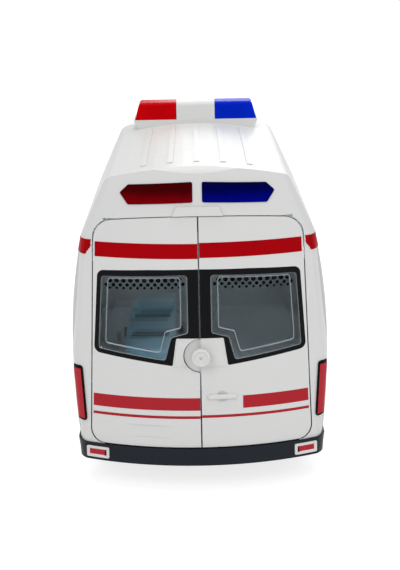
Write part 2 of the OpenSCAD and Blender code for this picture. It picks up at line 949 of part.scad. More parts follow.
// Opening for both doors in the body and the roof cap, with room for their edges to swing
module door_cut() {
    both_sides() {
        along_y(tail_y - rear_corner_r, tail_y + sill_depth + 2 * rear_corner_r)
            polygon(door_outline(door_gap, -over));
        hinge_line(door_low_z - door_gap, door_top_z - door_arch / 2, hinge_depth + 3 * sweep_clear);
    }
}

module boss_places() {
    for (k = boss_y_shares)
        translate([side_x(floor_z, wall) - boss_wall_in, k * half_len, 0]) children();
}

module lower_body() {
    color("white") difference() {
        union() {
            difference() {
                body_form(0, sill_z, seam_z);
                difference() {
                    body_form(wall, sill_z - over, seam_z + over);
                    rear_layer(wall - over, sill_depth)
                        translate([-body_w, 0]) square([2 * body_w, sill_z + bumper_h]);
                }
            }
            both_sides() for (y = [rear_axle_y, front_axle_y]) intersection() {
                body_form(-arch_lip_proud, sill_z, belt_z);
                on_shaft(y, axle_z) up(side_x(belt_z, wall))
                    cylinder(r = arch_r + arch_lip, h = body_w);
            }
            both_sides() intersection() {
                boss_places() up(chassis_top) cylinder(r = boss_r, h = floor_z - chassis_top);
                body_form(wall / 2, sill_z, belt_z);
            }
        }
        door_cut();
        both_sides() {
            for (y = [rear_axle_y, front_axle_y]) arch_cut(y, arch_r);
            hinge_line(sill_z + bumper_h - pin_reach - pin_clear, sill_z + bumper_h + over, pin_r + pin_clear);
            boss_places() up(chassis_top - over) cylinder(r = screw_r + run_fit, h = screw_len + over);
            // Seats of the lamps and the side glazing
            rear_seat(tail_depth) tail_outline();
            front_seat(lamp_depth, lamp_back) lamp_outline();
            side_layer(-over, wall + over) cab_window_outline(-fit);
            side_layer(-over, wall + over) mid_window_outline(-fit);
            mirror_plug_shape(fit);
        }
        // Seats of the bumpers, the grille and the windshield
        rear_bumper_shape(-bumper_proud - over, bumper_depth + fit, sill_z - over);
        front_bumper_shape(-bumper_proud - over, front_bumper_depth + fit, sill_z - over);
        front_seat(grille_depth, lamp_back) grille_outline(-fit);
        shield_layer(-over, wall + over) shield_outline(-fit);
    }
}

// Recess in the rear corner, d deep, for an outline drawn in x and z
module rear_seat(d) {
    difference() {
        along_y(-half_len, tail_y + tail_wrap + fit) children();
        body_form(d + fit, sill_z - over, seam_z + over);
    }
}

// Recess in the nose, d deep, reaching back from the front bumper
module front_seat(d, back) {
    difference() {
        along_y(nose_y - back, half_len + over) children();
        body_form(d + fit, sill_z - over, seam_z + over);
    }
}

// Layer of the windshield between depths o0 and o1, outline drawn along its slope
module shield_layer(o0, o1) {
    difference() {
        intersection() {
            translate([0, brow_y, seam_z]) rotate([shield_rake, 0, 0]) along_y(-shield_r / 2, shield_r / 2) children();
            shield_form(o0);
        }
        shield_form(o1);
    }
}

module rear_bumper_shape(o0, o1, z0) {
    difference() {
        intersection() {
            body_form(o0, z0, sill_z + bumper_h);
            box([-body_w, body_w], [-half_len - over, tail_y + bumper_wrap], [0, seam_z]);
        }
        body_form(o1, z0 - over, seam_z);
    }
}

module rear_bumper() {
    color("#262e38") difference() {
        rear_bumper_shape(-bumper_proud, bumper_depth, sill_z);
        both_sides() reflector_prism(fit, bumper_proud);
    }
}

module reflector_prism(g, depth) {
    on_rear(half_w - reflector_in, sill_z + bumper_h / 2) up(bumper_proud - depth)
        linear_extrude(depth + over) rounded_rect(reflector_w + 2 * g, reflector_h + 2 * g, reflector_h / 3);
}

module bumper_reflector_right() {
    color("#b01018") intersection() {
        reflector_prism(0, bumper_proud - fit);
        body_form(-bumper_proud - reflector_proud, sill_z, sill_z + bumper_h);
    }
}

module bumper_reflector_left() flip() bumper_reflector_right();

module front_bumper_shape(o0, o1, z0) {
    difference() {
        intersection() {
            body_form(o0, z0, sill_z + front_bumper_h);
            box([-body_w, body_w], [nose_y - front_bumper_back, half_len + over], [0, seam_z]);
        }
        body_form(o1, z0 - over, seam_z);
    }
}

module front_bumper() {
    color("#262e38") difference() {
        front_bumper_shape(-bumper_proud, front_bumper_depth, sill_z);
        difference() {
            along_y(0, half_len + over) translate([0, sill_z + front_bumper_h / 2])
                rounded_rect(intake_w, intake_h, intake_h / 3);
            body_form(front_bumper_depth / 2, sill_z - over, seam_z);
        }
    }
}

module grille() {
    bar = grille_h / (2 * grille_bar_count + 1);
    color("#20242a") difference() {
        intersection() {
            body_form(0, grille_low_z, grille_low_z + grille_h);
            along_y(0, half_len) grille_outline(0);
        }
        body_form(grille_depth, sill_z, seam_z);
        difference() {
            along_y(0, half_len + over) intersection() {
                grille_outline(bar);
                for (i = [0 : grille_bar_count - 1])
                    translate([-body_w / 2, grille_low_z + (2 * i + 1) * bar]) square([body_w, bar]);
            }
            body_form(grille_depth / 2, sill_z, seam_z);
        }
    }
}

module headlight_right() {
    color("#e8eef2") difference() {
        intersection() {
            body_form(-lamp_proud, lamp_low_z, lamp_top_z);
            along_y(nose_y - lamp_back + fit, half_len) lamp_inset();
        }
        body_form(lamp_depth, sill_z, seam_z);
    }
}

module lamp_inset() {
    intersection() {
        lamp_outline();
        translate([lamp_in_low, lamp_low_z + fit]) square([body_w, lamp_top_z - lamp_low_z - 2 * fit]);
        translate([fit, 0]) lamp_outline();
    }
}

module headlight_left() flip() headlight_right();

module windshield() {
    color("#8fa6b5", 0.6) shield_layer(glass_inset, glass_inset + glass_t) shield_outline(fit);
}

module side_glazing_right() {
    z0 = seam_z - side_win_low_drop - strip_margin;
    color("#5d6b78", 0.6) {
        side_layer(glass_inset, wall + fit) {
            cab_window_outline(fit);
            mid_window_outline(fit);
        }
        side_layer(wall + fit, wall + fit + strip_t) translate([mid_win_y0 - strip_margin, z0]) polygon([
            [0, 0], [cab_win_y1 - mid_win_y0, 0],
            [cab_win_y1 - mid_win_y0 - cab_win_rake, side_win_h + 2 * strip_margin],
            [0, side_win_h + 2 * strip_margin]
        ]);
    }
}

module side_glazing_left() flip() side_glazing_right();

module mirror_plug_shape(g) {
    x = side_x(mirror_z);
    translate([x - mirror_plug, mirror_y, mirror_z]) rotate([0, 90, 0])
        cylinder(r = mirror_arm_r + g, h = mirror_plug + mirror_reach / 2);
}

module mirror_right() {
    x = side_x(mirror_z) + mirror_reach / 2;
    color("#20242a") {
        mirror_plug_shape(0);
        translate([x, mirror_y - mirror_t / 2, mirror_z - mirror_h / 3]) difference() {
            along_y(0, mirror_t) translate([mirror_w / 2 - mirror_arm_r, mirror_h / 2])
                rounded_rect(mirror_w, mirror_h, mirror_w / 4);
            along_y(-over, mirror_t / 4) translate([mirror_w / 2 - mirror_arm_r, mirror_h / 2])
                rounded_rect(mirror_w - mirror_arm_r, mirror_h - mirror_arm_r, mirror_w / 4);
        }
    }
}

module mirror_left() flip() mirror_right();

module tail_light_right() {
    color("#b42d37") difference() {
        intersection() {
            body_form(-tail_proud, tail_low_z - over, tail_top_z + over);
            along_y(-half_len, tail_y + tail_wrap) intersection() {
                tail_outline();
                translate([fit, 0]) tail_outline();
                translate([0, fit]) tail_outline();
                translate([0, -fit]) tail_outline();
            }
        }
        body_form(tail_depth, sill_z, seam_z);
    }
}

module tail_light_left() flip() tail_light_right();

module roof_cap() {
    post_w = 2 * (warn_in_x - warn_flange - fit);
    color("white") difference() {
        union() {
            difference() {
                roof_form(0, seam_z);
                roof_form(wall, seam_z - over);
            }
            intersection() {
                along_y(tail_y + lamp_board_setback + rib_margin, bar_y - rib_margin / 2)
                    for (i = [0 : rib_count - 1])
                        translate([(i - (rib_count - 1) / 2) * rib_pitch - rib_w / 2, seam_z])
                            square([rib_w, roof_z]);
                difference() {
                    along_y(-half_len, half_len) roof_section(-rib_h, seam_z);
                    along_y(-half_len - over, half_len + over) roof_section(wall / 2, seam_z - over);
                }
            }
            rear_layer(-tab_t, wall) polygon([
                [-tab_low_x, door_top_z], [tab_low_x, door_top_z],
                [tab_top_x, door_top_z + tab_h], [-tab_top_x, door_top_z + tab_h]
            ]);
            both_sides() intersection() {
                hinge_line(socket_z, socket_z + socket_h, socket_r);
                roof_form(wall / 2, seam_z);
            }
            // Post that carries the lamp board between the two lenses
            difference() {
                rear_layer(wall / 2, 2 * lamp_board_setback)
                    translate([-post_w / 2, seam_z + warn_low_rise + warn_flange])
                        square([post_w, lamp_board_h / 2]);
                lamp_board_space();
            }
        }
        door_cut();
        both_sides() {
            hinge_line(barrel_high_top_z, socket_z + socket_h + over, pin_r + pin_clear);
            rear_layer(-over, wall + over) polygon(warn_outline(-fit));
        }
    }
}

// Everything from the lamp board's rear face forwards
module lamp_board_space() {
    z = seam_z + warn_low_rise + lamp_board_h / 2;
    translate([0, rear_y(0, z) + lamp_board_setback, z]) rotate([-rear_lean, 0, 0])
        translate([-body_w, 0, -body_w]) cube([2 * body_w, far, 2 * body_w]);
}

module warning_lens() {
    rear_layer(-warn_proud, wall + fit) polygon(warn_outline(0));
    rear_layer(wall + fit / 4, wall + warn_flange_t) polygon(warn_outline(-warn_flange));
}

module warning_lens_hollow() {
    difference() {
        warning_lens();
        rear_layer(warn_flange_t - warn_proud, wall + 2 * warn_flange_t) polygon(warn_outline(warn_flange));
    }
}

module rear_warning_lens_blue() {
    color("#0a1a80", 0.8) warning_lens_hollow();
}

module rear_warning_lens_red() {
    color("#700008", 0.8) mirror([1, 0, 0]) warning_lens_hollow();
}

module rear_lamp_board() {
    z = seam_z + warn_low_rise + lamp_board_h / 2;
    color("#1f6b3a") translate([0, rear_y(0, z) + lamp_board_setback, z]) rotate([-rear_lean, 0, 0]) {
        translate([-lamp_board_w / 2, 0, -lamp_board_h / 2]) cube([lamp_board_w, board_t, lamp_board_h]);
        for (s = [-1, 1])
            translate([s * led_x, 0, 0]) rotate([90, 0, 0]) {
                cylinder(r = led_r, h = led_h - led_r);
                up(led_h - led_r) sphere(led_r);
            }
    }
}

// Light bar
bar_back = 22;
bar_y = cab_win_y0 - bar_back;
bar_base_top = roof_z + 1.9;
bar_taper = 2.4;
bar_lens_t = 1.1;
bar_corner_r = 2.2;
bar_base_lip = 0.6;

module bar_lens_form(d) {
    w = bar_w / 2 - d;
    h = bar_base_top + bar_lens_h - d;
    intersection() {
        along_y(bar_y - over, bar_y + bar_d + over) polygon(rounded([
            [-w, bar_base_top], [w, bar_base_top], [w - bar_taper, h], [-w + bar_taper, h]
        ], [0, 0, bar_corner_r, bar_corner_r]));
        along_x(-bar_w, bar_w) polygon(rounded([
            [bar_y + d, bar_base_top], [bar_y + bar_d - d, bar_base_top],
            [bar_y + bar_d - d - bar_taper / 2, h], [bar_y + d + bar_taper / 2, h]
        ], [0, 0, bar_corner_r, bar_corner_r]));
    }
}

module lightbar_base() {
    low = roof_z - crown_rise;
    color("white") {
        difference() {
            along_y(bar_y - bar_base_lip, bar_y + bar_d + bar_base_lip) polygon([
                [-bar_w / 2 + bar_taper, low], [bar_w / 2 - bar_taper, low],
                [bar_w / 2 + bar_base_lip, bar_base_top - bar_base_lip],
                [bar_w / 2 + bar_base_lip, bar_base_top],
                [-bar_w / 2 - bar_base_lip, bar_base_top],
                [-bar_w / 2 - bar_base_lip, bar_base_top - bar_base_lip]
            ]);
            along_y(-half_len, half_len) roof_section(0, seam_z);
        }
        intersection() {
            bar_lens_form(-bar_base_lip / 2);
            box([-bar_mid_w / 2, bar_mid_w / 2], [bar_y - over, bar_y + bar_d + over], [bar_base_top, far]);
        }
    }
}

module bar_lens() {
    difference() {
        bar_lens_form(0);
        intersection() {
            for (dz = [-over, 0])
                up(dz) bar_lens_form(bar_lens_t);
            box([bar_mid_w / 2 + fit + bar_lens_t, body_w], [0, half_len], [0, far]);
        }
        box([-body_w, bar_mid_w / 2 + fit], [0, half_len], [0, far]);
    }
}

module lightbar_lens_blue() {
    color("#0028c8", 0.7) bar_lens();
}

module lightbar_lens_red() {
    color("#c8000a", 0.7) mirror([1, 0, 0]) bar_lens();
}

module lightbar_lamp_board() {
    x0 = bar_mid_w / 2 + 2 * bar_lens_t;
    x1 = bar_w / 2 - bar_taper - 2 * bar_lens_t;
    color("#1f6b3a") both_sides() {
        box([x0, x1], [bar_y + bar_d / 4, bar_y + bar_d * 3 / 4], [bar_base_top, bar_base_top + board_t]);
        for (x = [x0 + (x1 - x0) / 4, x1 - (x1 - x0) / 4])
            translate([x, bar_y + bar_d / 2, bar_base_top + board_t]) {
                cylinder(r = led_r, h = led_h);
                up(led_h) sphere(led_r);
            }
    }
}

// Underside

module chassis_outline_cuts() {
    both_sides() for (y = [rear_axle_y, front_axle_y])
        box([wheel_in_x, body_w], [y - arch_r, y + arch_r], [0, chassis_top + over]);
    // Motor well, battery window with its ledge, switch slot
    box([case_x[0] - fit, case_x[1] + fit], [case_y[0] - fit, case_y[1] + fit], [0, chassis_top + over]);
    box([-pack_half, pack_half], [pack_y - cell_half, pack_y + cell_half], [0, chassis_top + over]);
    box(
        [-pack_half - cover_margin, pack_half + cover_margin],
        [pack_y - cell_half - cover_margin, pack_y + cell_half + cover_margin],
        [0, chassis_z + cover_t + fit / 2]
    );
    box(
        [switch_x - switch_w / 2 - switch_clear, switch_x + switch_w / 2 + switch_clear],
        [
            switch_y - (switch_l + switch_travel) / 2 - switch_clear,
            switch_y + (switch_l + switch_travel) / 2 + switch_clear
        ],
        [0, chassis_top + over]
    );
    both_sides() boss_places() {
        cylinder(r = screw_r + fit, h = chassis_top + over);
        up(chassis_z - over) cylinder(r = screw_head_r + fit, h = screw_head_h + fit + over);
    }
    for (a = [0 : 60 : 300], r = [0, cone_r * 2 / 3])
        translate([speaker_x, speaker_y, 0] + r * [cos(a), sin(a), 0])
            cylinder(r = screw_r, h = chassis_top + over);
}

module chassis() {
    color("#3a3f45") difference() {
        union() {
            difference() {
                intersection() {
                    body_form(wall + fit, chassis_z, chassis_top);
                    rear_form(sill_depth + fit);
                }
                chassis_outline_cuts();
            }
            // Wheel arch liners, cut off inside the body
            both_sides() for (y = [rear_axle_y, front_axle_y]) intersection() {
                difference() {
                    union() {
                        on_shaft(y, axle_z) up(wheel_in_x - liner_t)
                            cylinder(r = arch_r + liner_t, h = body_w);
                        box([wheel_in_x - liner_t, body_w], [y - arch_r - liner_t, y + arch_r + liner_t], [chassis_z, axle_z]);
                    }
                    arch_cut(y, arch_r);
                }
                body_form(wall + fit, chassis_z, belt_z);
            }
            // Axle saddles beside the front axle
            both_sides() box(
                [saddle_x - saddle_w / 2, saddle_x + saddle_w / 2],
                [front_axle_y - saddle_l / 2, front_axle_y + saddle_l / 2],
                [chassis_z, axle_z + axle_r + saddle_over]
            );
            // Battery tray walls
            difference() {
                box(
                    [-pack_half - tray_t, pack_half + tray_t],
                    [pack_y - cell_half - tray_t, pack_y + cell_half + tray_t],
                    [chassis_z + cover_t + fit / 2, chassis_top + tray_h]
                );
                box(
                    [-pack_half, pack_half], [pack_y - cell_half, pack_y + cell_half],
                    [0, chassis_top + tray_h + over]
                );
            }
            // Circuit board posts and switch rails
            both_sides() translate([board_w / 2 - 2 * post_r, board_y, chassis_top - over])
                cylinder(r = post_r, h = board_lift + over);
            for (s = [-1, 1])
                translate([switch_x + s * (switch_flange_w / 2 + switch_clear + rail_t / 2), switch_y, chassis_top])
                    box(
                        [-rail_t / 2, rail_t / 2],
                        [-(switch_flange_l + switch_travel) / 2, (switch_flange_l + switch_travel) / 2],
                        [-over, rail_h]
                    );
        }
        shaft_bore(front_axle_y, axle_z, axle_r + run_fit);
        shaft_bore(rear_axle_y, axle_z, collar_r);
    }
}

module chassis_screws() {
    color("silver") both_sides() boss_places() up(chassis_z + fit) {
        cylinder(r = screw_head_r, h = screw_head_h);
        cylinder(r = screw_r, h = plate_thick + screw_len - 2 * fit);
    }
}

module battery_cells() {
    z = chassis_z + cover_t + cell_lift + cell_d / 2;
    color("#c8862a") for (i = [0 : cell_count - 1])
        translate([(i - (cell_count - 1) / 2) * (cell_d + cell_gap), pack_y - (cell_len + cell_nub_h) / 2, z])
            rotate([-90, 0, 0]) {
                cylinder(r = cell_d / 2, h = cell_len);
                cylinder(r = cell_nub_r, h = cell_len + cell_nub_h);
            }
}

module battery_cover() {
    w = pack_half + cover_margin - fit;
    l = cell_half + cover_margin - fit;
    color("#3a3f45") difference() {
        box([-w, w], [pack_y - l, pack_y + l], [chassis_z, chassis_z + cover_t]);
        for (s = [-1, 1], k = [-1 : 1])
            translate([0, pack_y + s * l * 2 / 3 + k * 2 * cover_t, chassis_z])
                box([-w / 3, w / 3], [-cover_t / 3, cover_t / 3], [-over, cover_t / 3]);
    }
}

module circuit_board() {
    z = chassis_top + board_lift;
    color("#1f6b3a") {
        box([-board_w / 2, board_w / 2], [board_y - board_d / 2, board_y + board_d / 2], [z, z + board_t]);
        box([-chip_w / 2, chip_w / 2], [board_y - chip_w / 2, board_y + chip_w / 2], [z + board_t, z + board_t + chip_h]);
        for (s = [-1, 1])
            translate([s * board_w / 3, board_y, z + board_t]) cylinder(r = led_r, h = 2 * led_h);
    }
}

module speaker() {
    color("#2b2b2e") translate([speaker_x, speaker_y, chassis_top]) difference() {
        cylinder(r = speaker_r, h = speaker_h);
        up(-over) cylinder(r1 = cone_r, r2 = cone_r / 3, h = cone_depth + over);
    }
}

module power_switch() {
    color("#d8d8d8") translate([switch_x, switch_y - switch_travel / 2, 0]) {
        box(
            [-switch_flange_w / 2, switch_flange_w / 2], [-switch_flange_l / 2, switch_flange_l / 2],
            [chassis_top + run_fit, chassis_top + switch_flange_t]
        );
        box(
            [-switch_w / 2, switch_w / 2], [-switch_l / 2, switch_l / 2],
            [chassis_z - switch_proud, chassis_top + switch_flange_t]
        );
    }
}

// Friction motor

module motor_case() {
    inner_x = [case_x[0] + case_wall, case_x[1] - case_wall];
    inner_y = [case_y[0] + case_wall, case_y[1] - case_wall];
    inner_z = [case_z[0] + case_wall, case_z[1] - case_wall];
    color("#cfd3d6") difference() {
        union() {
            box(case_x, case_y, case_z);
            box(
                [case_x[0] - case_flange, case_x[1] + case_flange],
                [case_y[0] - case_flange, case_y[1] + case_flange], [chassis_top, chassis_top + case_wall]
            );
        }
        box(inner_x, inner_y, inner_z);
        shaft_bore(rear_axle_y, axle_z, axle_r + run_fit);
        shaft_bore(idler_y, idler_z, shaft_r + run_fit);
        shaft_bore(flywheel_y, flywheel_z, shaft_r + run_fit);
    }
}

module axle_gear() {
    color("#f0e9d8") on_shaft(rear_axle_y, axle_z) difference() {
        union() {
            up(plane_a_x) linear_extrude(gear_w) gear_outline(axle_teeth);
            up(plane_b_x) cylinder(r = collar_r, h = gear_w + gear_side_gap + plane_a_x);
        }
        up(-far / 2) cylinder(r = axle_r, h = far);
    }
}

module idler_gear() {
    color("#f0e9d8") on_shaft(idler_y, idler_z) rotate([0, 0, idler_phase]) {
        up(plane_a_x) linear_extrude(gear_w) gear_outline(pinion_teeth);
        up(plane_b_x) linear_extrude(gear_w) gear_outline(idler_teeth);
        up(plane_b_x) cylinder(r = collar_r, h = gear_w + gear_side_gap + plane_a_x);
        translate([0, 0, case_x[0]]) cylinder(r = shaft_r, h = case_x[1] - case_x[0]);
    }
}

module flywheel() {
    color("#9a9ea3") on_shaft(flywheel_y, flywheel_z) rotate([0, 0, flywheel_phase]) {
        up(plane_b_x) linear_extrude(gear_w) gear_outline(pinion_teeth);
        up(flywheel_x) cylinder(r = flywheel_r, h = flywheel_w);
        up(flywheel_x) cylinder(r = collar_r, h = plane_b_x - flywheel_x + gear_w / 2);
        translate([0, 0, case_x[0]]) cylinder(r = shaft_r, h = case_x[1] - case_x[0]);
    }
}

// Wheels

rim_w_share = 0.86;
tyre_groove_share = 0.5;
spoke_count = 6;

module axle(y) {
    half = track_w / 2 + tyre_w * rim_w_share / 2;
    color("silver") on_shaft(y, axle_z) up(-half) cylinder(r = axle_r, h = 2 * half);
}

module front_axle() {
    axle(front_axle_y);
}

module rear_axle() {
    axle(rear_axle_y);
}

module rim(y) {
    w = tyre_w * rim_w_share;
    hub = 2 * axle_r;
    ledge = rim_r - wall;
    web = wall;
    color("#c9ccd0") on_shaft(y, axle_z) up(track_w / 2) difference() {
        rotate_extrude() polygon([
            [axle_r, -w / 2], [hub, -w / 2], [hub, -web], [ledge, -web], [ledge, -w / 2],
            [rim_r, -w / 2], [rim_r, w / 2], [ledge, w / 2], [ledge - web, 0], [hub + web, web / 2],
            [hub, w / 2], [axle_r, w / 2]
        ]);
        for (i = [0 : spoke_count - 1])
            rotate([0, 0, 360 * i / spoke_count]) translate([(hub + ledge) / 2, 0, -w])
                cylinder(r = (ledge - hub) / 4, h = 2 * w);
    }
}

module tyre(y) {
    shoulder = (wheel_r - rim_r) / 4;
    half = tyre_w / 2;
    color("#1c1c1e") on_shaft(y, axle_z) up(track_w / 2) rotate_extrude()
        difference() {
            polygon(rounded(
                [[rim_r, -half], [wheel_r, -half], [wheel_r, half], [rim_r, half]], [0, shoulder, shoulder, 0]
            ));
            for (s = [-1, 1])
                translate([wheel_r, s * half / 3]) circle(shoulder * tyre_groove_share);
        }
}

module front_rim_right() {
    rim(front_axle_y);
}

module front_rim_left() {
    mirror([1, 0, 0]) rim(front_axle_y);
}

module rear_rim_right() {
    rim(rear_axle_y);
}

module rear_rim_left() {
    mirror([1, 0, 0]) rim(rear_axle_y);
}

module front_tyre_right() {
    tyre(front_axle_y);
}

module front_tyre_left() {
    mirror([1, 0, 0]) tyre(front_axle_y);
}

module rear_tyre_right() {
    tyre(rear_axle_y);
}

module rear_tyre_left() {
    mirror([1, 0, 0]) tyre(rear_axle_y);
}

// Interior

module interior_tub() {
    tub_wall_x = door_edge_low - 2 * hinge_inset;
    o = wall + tub_clear + strip_t;
    z1 = seam_z - bulkhead_top_drop;
    color("#d9dcdd") difference() {
        union() {
            intersection() {
                body_form(o, chassis_top + fit, z1);
                union() {
                    box([-body_w, body_w], [-half_len, bulkhead_y], [floor_z, floor_z + tub_t]);
                    box([-body_w, body_w], [bulkhead_y - tub_t, bulkhead_y], [floor_z, z1]);
                }
                rear_form(tub_rear);
            }
            rear_layer(tub_rear, tub_rear + tub_t) translate([-tub_wall_x, chassis_top + fit])
                square([2 * tub_wall_x, floor_z + tub_t - chassis_top - fit]);
        }
        along_y(0, half_len) translate([0, seam_z - bulkhead_win_drop])
            rounded_rect(bulkhead_win_w, bulkhead_win_h, bulkhead_win_r);
    }
}

module seat() {
    translate([seat_x, seat_y, floor_z + tub_t]) {
        up(-over) linear_extrude(seat_h + over) rounded_rect(seat_w, seat_d, seat_r);
        translate([0, -seat_d / 2 + seat_back_t, 0]) rotate([seat_back_tilt, 0, 0]) {
            along_y(-seat_back_t / 2, seat_back_t / 2) translate([0, seat_back_h / 2])
                rounded_rect(seat_w - seat_r, seat_back_h, seat_r);
            along_y(-seat_back_t / 3, seat_back_t / 3) translate([0, seat_back_h + head_h / 2 - over])
                rounded_rect(head_w, head_h + 2 * over, seat_r);
        }
    }
}

module cab_interior() {
    o = wall + tub_clear + strip_t;
    y0 = bulkhead_y + fit;
    y1 = nose_y - cab_front;
    color("#6b7075") {
        both_sides() seat();
        intersection() {
            body_form(o, floor_z, seam_z);
            along_x(-body_w, body_w) polygon(rounded([
                [y0, floor_z], [y1, floor_z], [y1, floor_z + dash_h - dash_slope / 2],
                [y1 - dash_slope, floor_z + dash_h], [y1 - dash_d, floor_z + dash_h - dash_slope],
                [y1 - dash_d, floor_z + tub_t], [y0, floor_z + tub_t],
            ], [0, 0, dash_slope / 3, dash_slope / 3, dash_slope / 3, 0, 0]));
        }
    }
}

module steering_wheel() {
    y = nose_y - cab_front - dash_d;
    z = floor_z + dash_h - 2 * dash_slope;
    color("#20242a") translate([-seat_x, y, z]) rotate([wheel_tilt, 0, 0])
        up(fit + wheel_tube_r / tan(wheel_tilt)) {
        up(column_len) {
            rotate_extrude() translate([wheel_ring_r, 0]) circle(wheel_tube_r);
            cylinder(r = hub_r, h = wheel_tube_r);
            for (a = [90, 210, 330])
                rotate([0, 0, a]) box([0, wheel_ring_r], [-wheel_tube_r, wheel_tube_r], [0, wheel_tube_r / 2]);
        }
        cylinder(r = wheel_tube_r, h = column_len);
    }
}

cot_y = tail_y + cot_rear;
cot_deck_z = floor_z + tub_t + cot_deck;

module stretcher_frame() {
    half = cot_w / 2 - cot_rail_r;
    wheel_z = floor_z + tub_t + cot_wheel_r;
    color("#b9bdc2") translate([cot_x, cot_y, 0]) {
        for (s = [-1, 1]) {
            translate([s * half, 0, cot_deck_z - cot_rail_r]) rotate([-90, 0, 0])
                cylinder(r = cot_rail_r, h = cot_len);
            for (y = cot_leg_ys)
                translate([s * half, y, wheel_z]) cylinder(r = cot_rail_r, h = cot_deck_z - wheel_z - cot_rail_r);
        }
        for (y = [cot_rail_r, cot_len / 2, cot_len - cot_rail_r])
            translate([-half, y, cot_deck_z - cot_rail_r]) rotate([0, 90, 0])
                cylinder(r = cot_rail_r, h = 2 * half);
        for (y = cot_leg_ys)
            translate([-half, y, wheel_z]) rotate([0, 90, 0]) cylinder(r = cot_rail_r, h = 2 * half);
    }
}

module stretcher_wheels() {
    half = cot_w / 2 + fit;
    wheel_z = floor_z + tub_t + cot_wheel_r;
    color("#2b2b2e") translate([cot_x, cot_y, wheel_z])
        for (s = [-1, 1], y = cot_leg_ys)
            translate([s * half - (s < 0 ? cot_wheel_w : 0), y, 0]) rotate([0, 90, 0])
                cylinder(r = cot_wheel_r, h = cot_wheel_w);
}

module stretcher_bed() {
    color("#8fb8dc") translate([cot_x, cot_y + cot_len / 2, cot_deck_z]) {
        linear_extrude(bed_t) rounded_rect(cot_w - 2 * bed_rim, cot_len - 2 * bed_rim, bed_r);
        translate([0, cot_len / 2 - pillow_len / 2 - 2 * bed_rim, bed_t - over])
            linear_extrude(pillow_h + over) rounded_rect(cot_w - 4 * bed_rim, pillow_len, bed_r / 2);
    }
}

// Rear doors

module hinge_barrels() {
    hinge_line(door_low_z + barrel_gap, barrel_low_top_z, barrel_r);
    hinge_line(barrel_high_low_z, barrel_high_top_z, barrel_r);
}

module door_panel() {
    difference() {
        rear_layer(0, door_t) polygon(door_outline(0, door_split / 2));
        rear_layer(-over, surround_t) surround_outline();
        rear_layer(-over, door_t + over) window_outline(-fit);
    }
    rear_layer(-boss_t, door_t / 2) notch_plate_outline(door_split / 2);
}

module door_with_hinge() {
    difference() {
        union() {
            door_panel();
            hinge_barrels();
        }
        hinge_line(door_low_z - over, barrel_high_top_z + over, pin_r + pin_clear / 3);
    }
}

module rear_door_left() {
    color("white") mirror([1, 0, 0]) difference() {
        door_with_hinge();
        translate([-knob_x, 0, 0]) mirror([1, 0, 0]) knob_prism(scoop_r, -2 * knob_reach, 2 * knob_reach, true);
        on_rear(plate_in_x + plate_w / 2, seam_z - plate_drop) up(-plate_t)
            linear_extrude(plate_t + rear_r) rounded_rect(plate_w, plate_h, plate_t);
    }
}

// A round prism on the knob's axis, from d0 to d1 behind the face
module knob_prism(r, d0, d1, centred = false) {
    translate([centred ? 0 : knob_x, rear_y(0, knob_z), knob_z]) rotate([90 - rear_lean, 0, 0])
        up(-d1) cylinder(r = r, h = d1 - d0);
}

module rear_door_right() {
    bar_z = seam_z - handle_drop;
    color("white") {
        difference() {
            union() {
                door_with_hinge();
                knob_prism(lug_r, lug_depth, lug_depth + lug_t);
            }
            knob_prism(knob_stem_r + fit, -knob_reach, knob_seat);
            on_rear(handle_x, bar_z) up(dish_lift) sphere(dish_r);
        }
        on_rear(handle_x, bar_z) {
            translate([-handle_len / 2 + handle_r, 0, 0]) rotate([0, 90, 0])
                cylinder(r = handle_r, h = handle_len - 2 * handle_r);
            for (s = [-1, 1])
                translate([s * (handle_len / 2 - handle_r), 0, 0]) sphere(handle_r);
        }
    }
}

module door_knob() {
    head_z = knob_reach - knob_head_t;
    color("white") translate([knob_x, rear_y(0, knob_z), knob_z]) rotate([90 - rear_lean, 0, 0])
        rotate_extrude() polygon(concat(
            [[0, -knob_seat], [knob_stem_r, -knob_seat], [knob_stem_r, head_z]],
            rounded([
                [knob_stem_r, head_z], [knob_r, head_z], [knob_r, knob_reach], [knob_ring_r + knob_ring_t, knob_reach]
            ], [0, knob_rim_r / 2, knob_rim_r, 0]),
            [
                [knob_ring_r, knob_reach - knob_ring_t], [knob_dot_r, knob_reach - knob_ring_t],
                [knob_dot_r, knob_reach - 2 * knob_ring_t], [0, knob_reach - 2 * knob_ring_t]
            ]
        ));
}

module window_surround_right() {
    color("#101114") rear_layer(0, surround_t) difference() {
        surround_outline();
        window_outline(-fit);
    }
}

module rear_window_right() {
    pane_depth = surround_t + window_step_t;
    color("#39424a", 0.6) difference() {
        rear_layer(surround_t, pane_depth + pane_t) window_outline(0);
        rear_layer(surround_t - over, pane_depth) for (rise = [0, window_band - window_top_band])
            translate([0, rise]) window_outline(window_band);
    }
}

module hinge_pins_right() {
    color("silver") {
        hinge_line(sill_z + bumper_h - pin_reach, barrel_low_top_z - pin_reach, pin_r);
        hinge_line(barrel_high_low_z + pin_reach, socket_z + socket_h, pin_r);
    }
}

module window_surround_left() flip() window_surround_right();

module rear_window_left() flip() rear_window_right();

module hinge_pins_left() flip() hinge_pins_right();

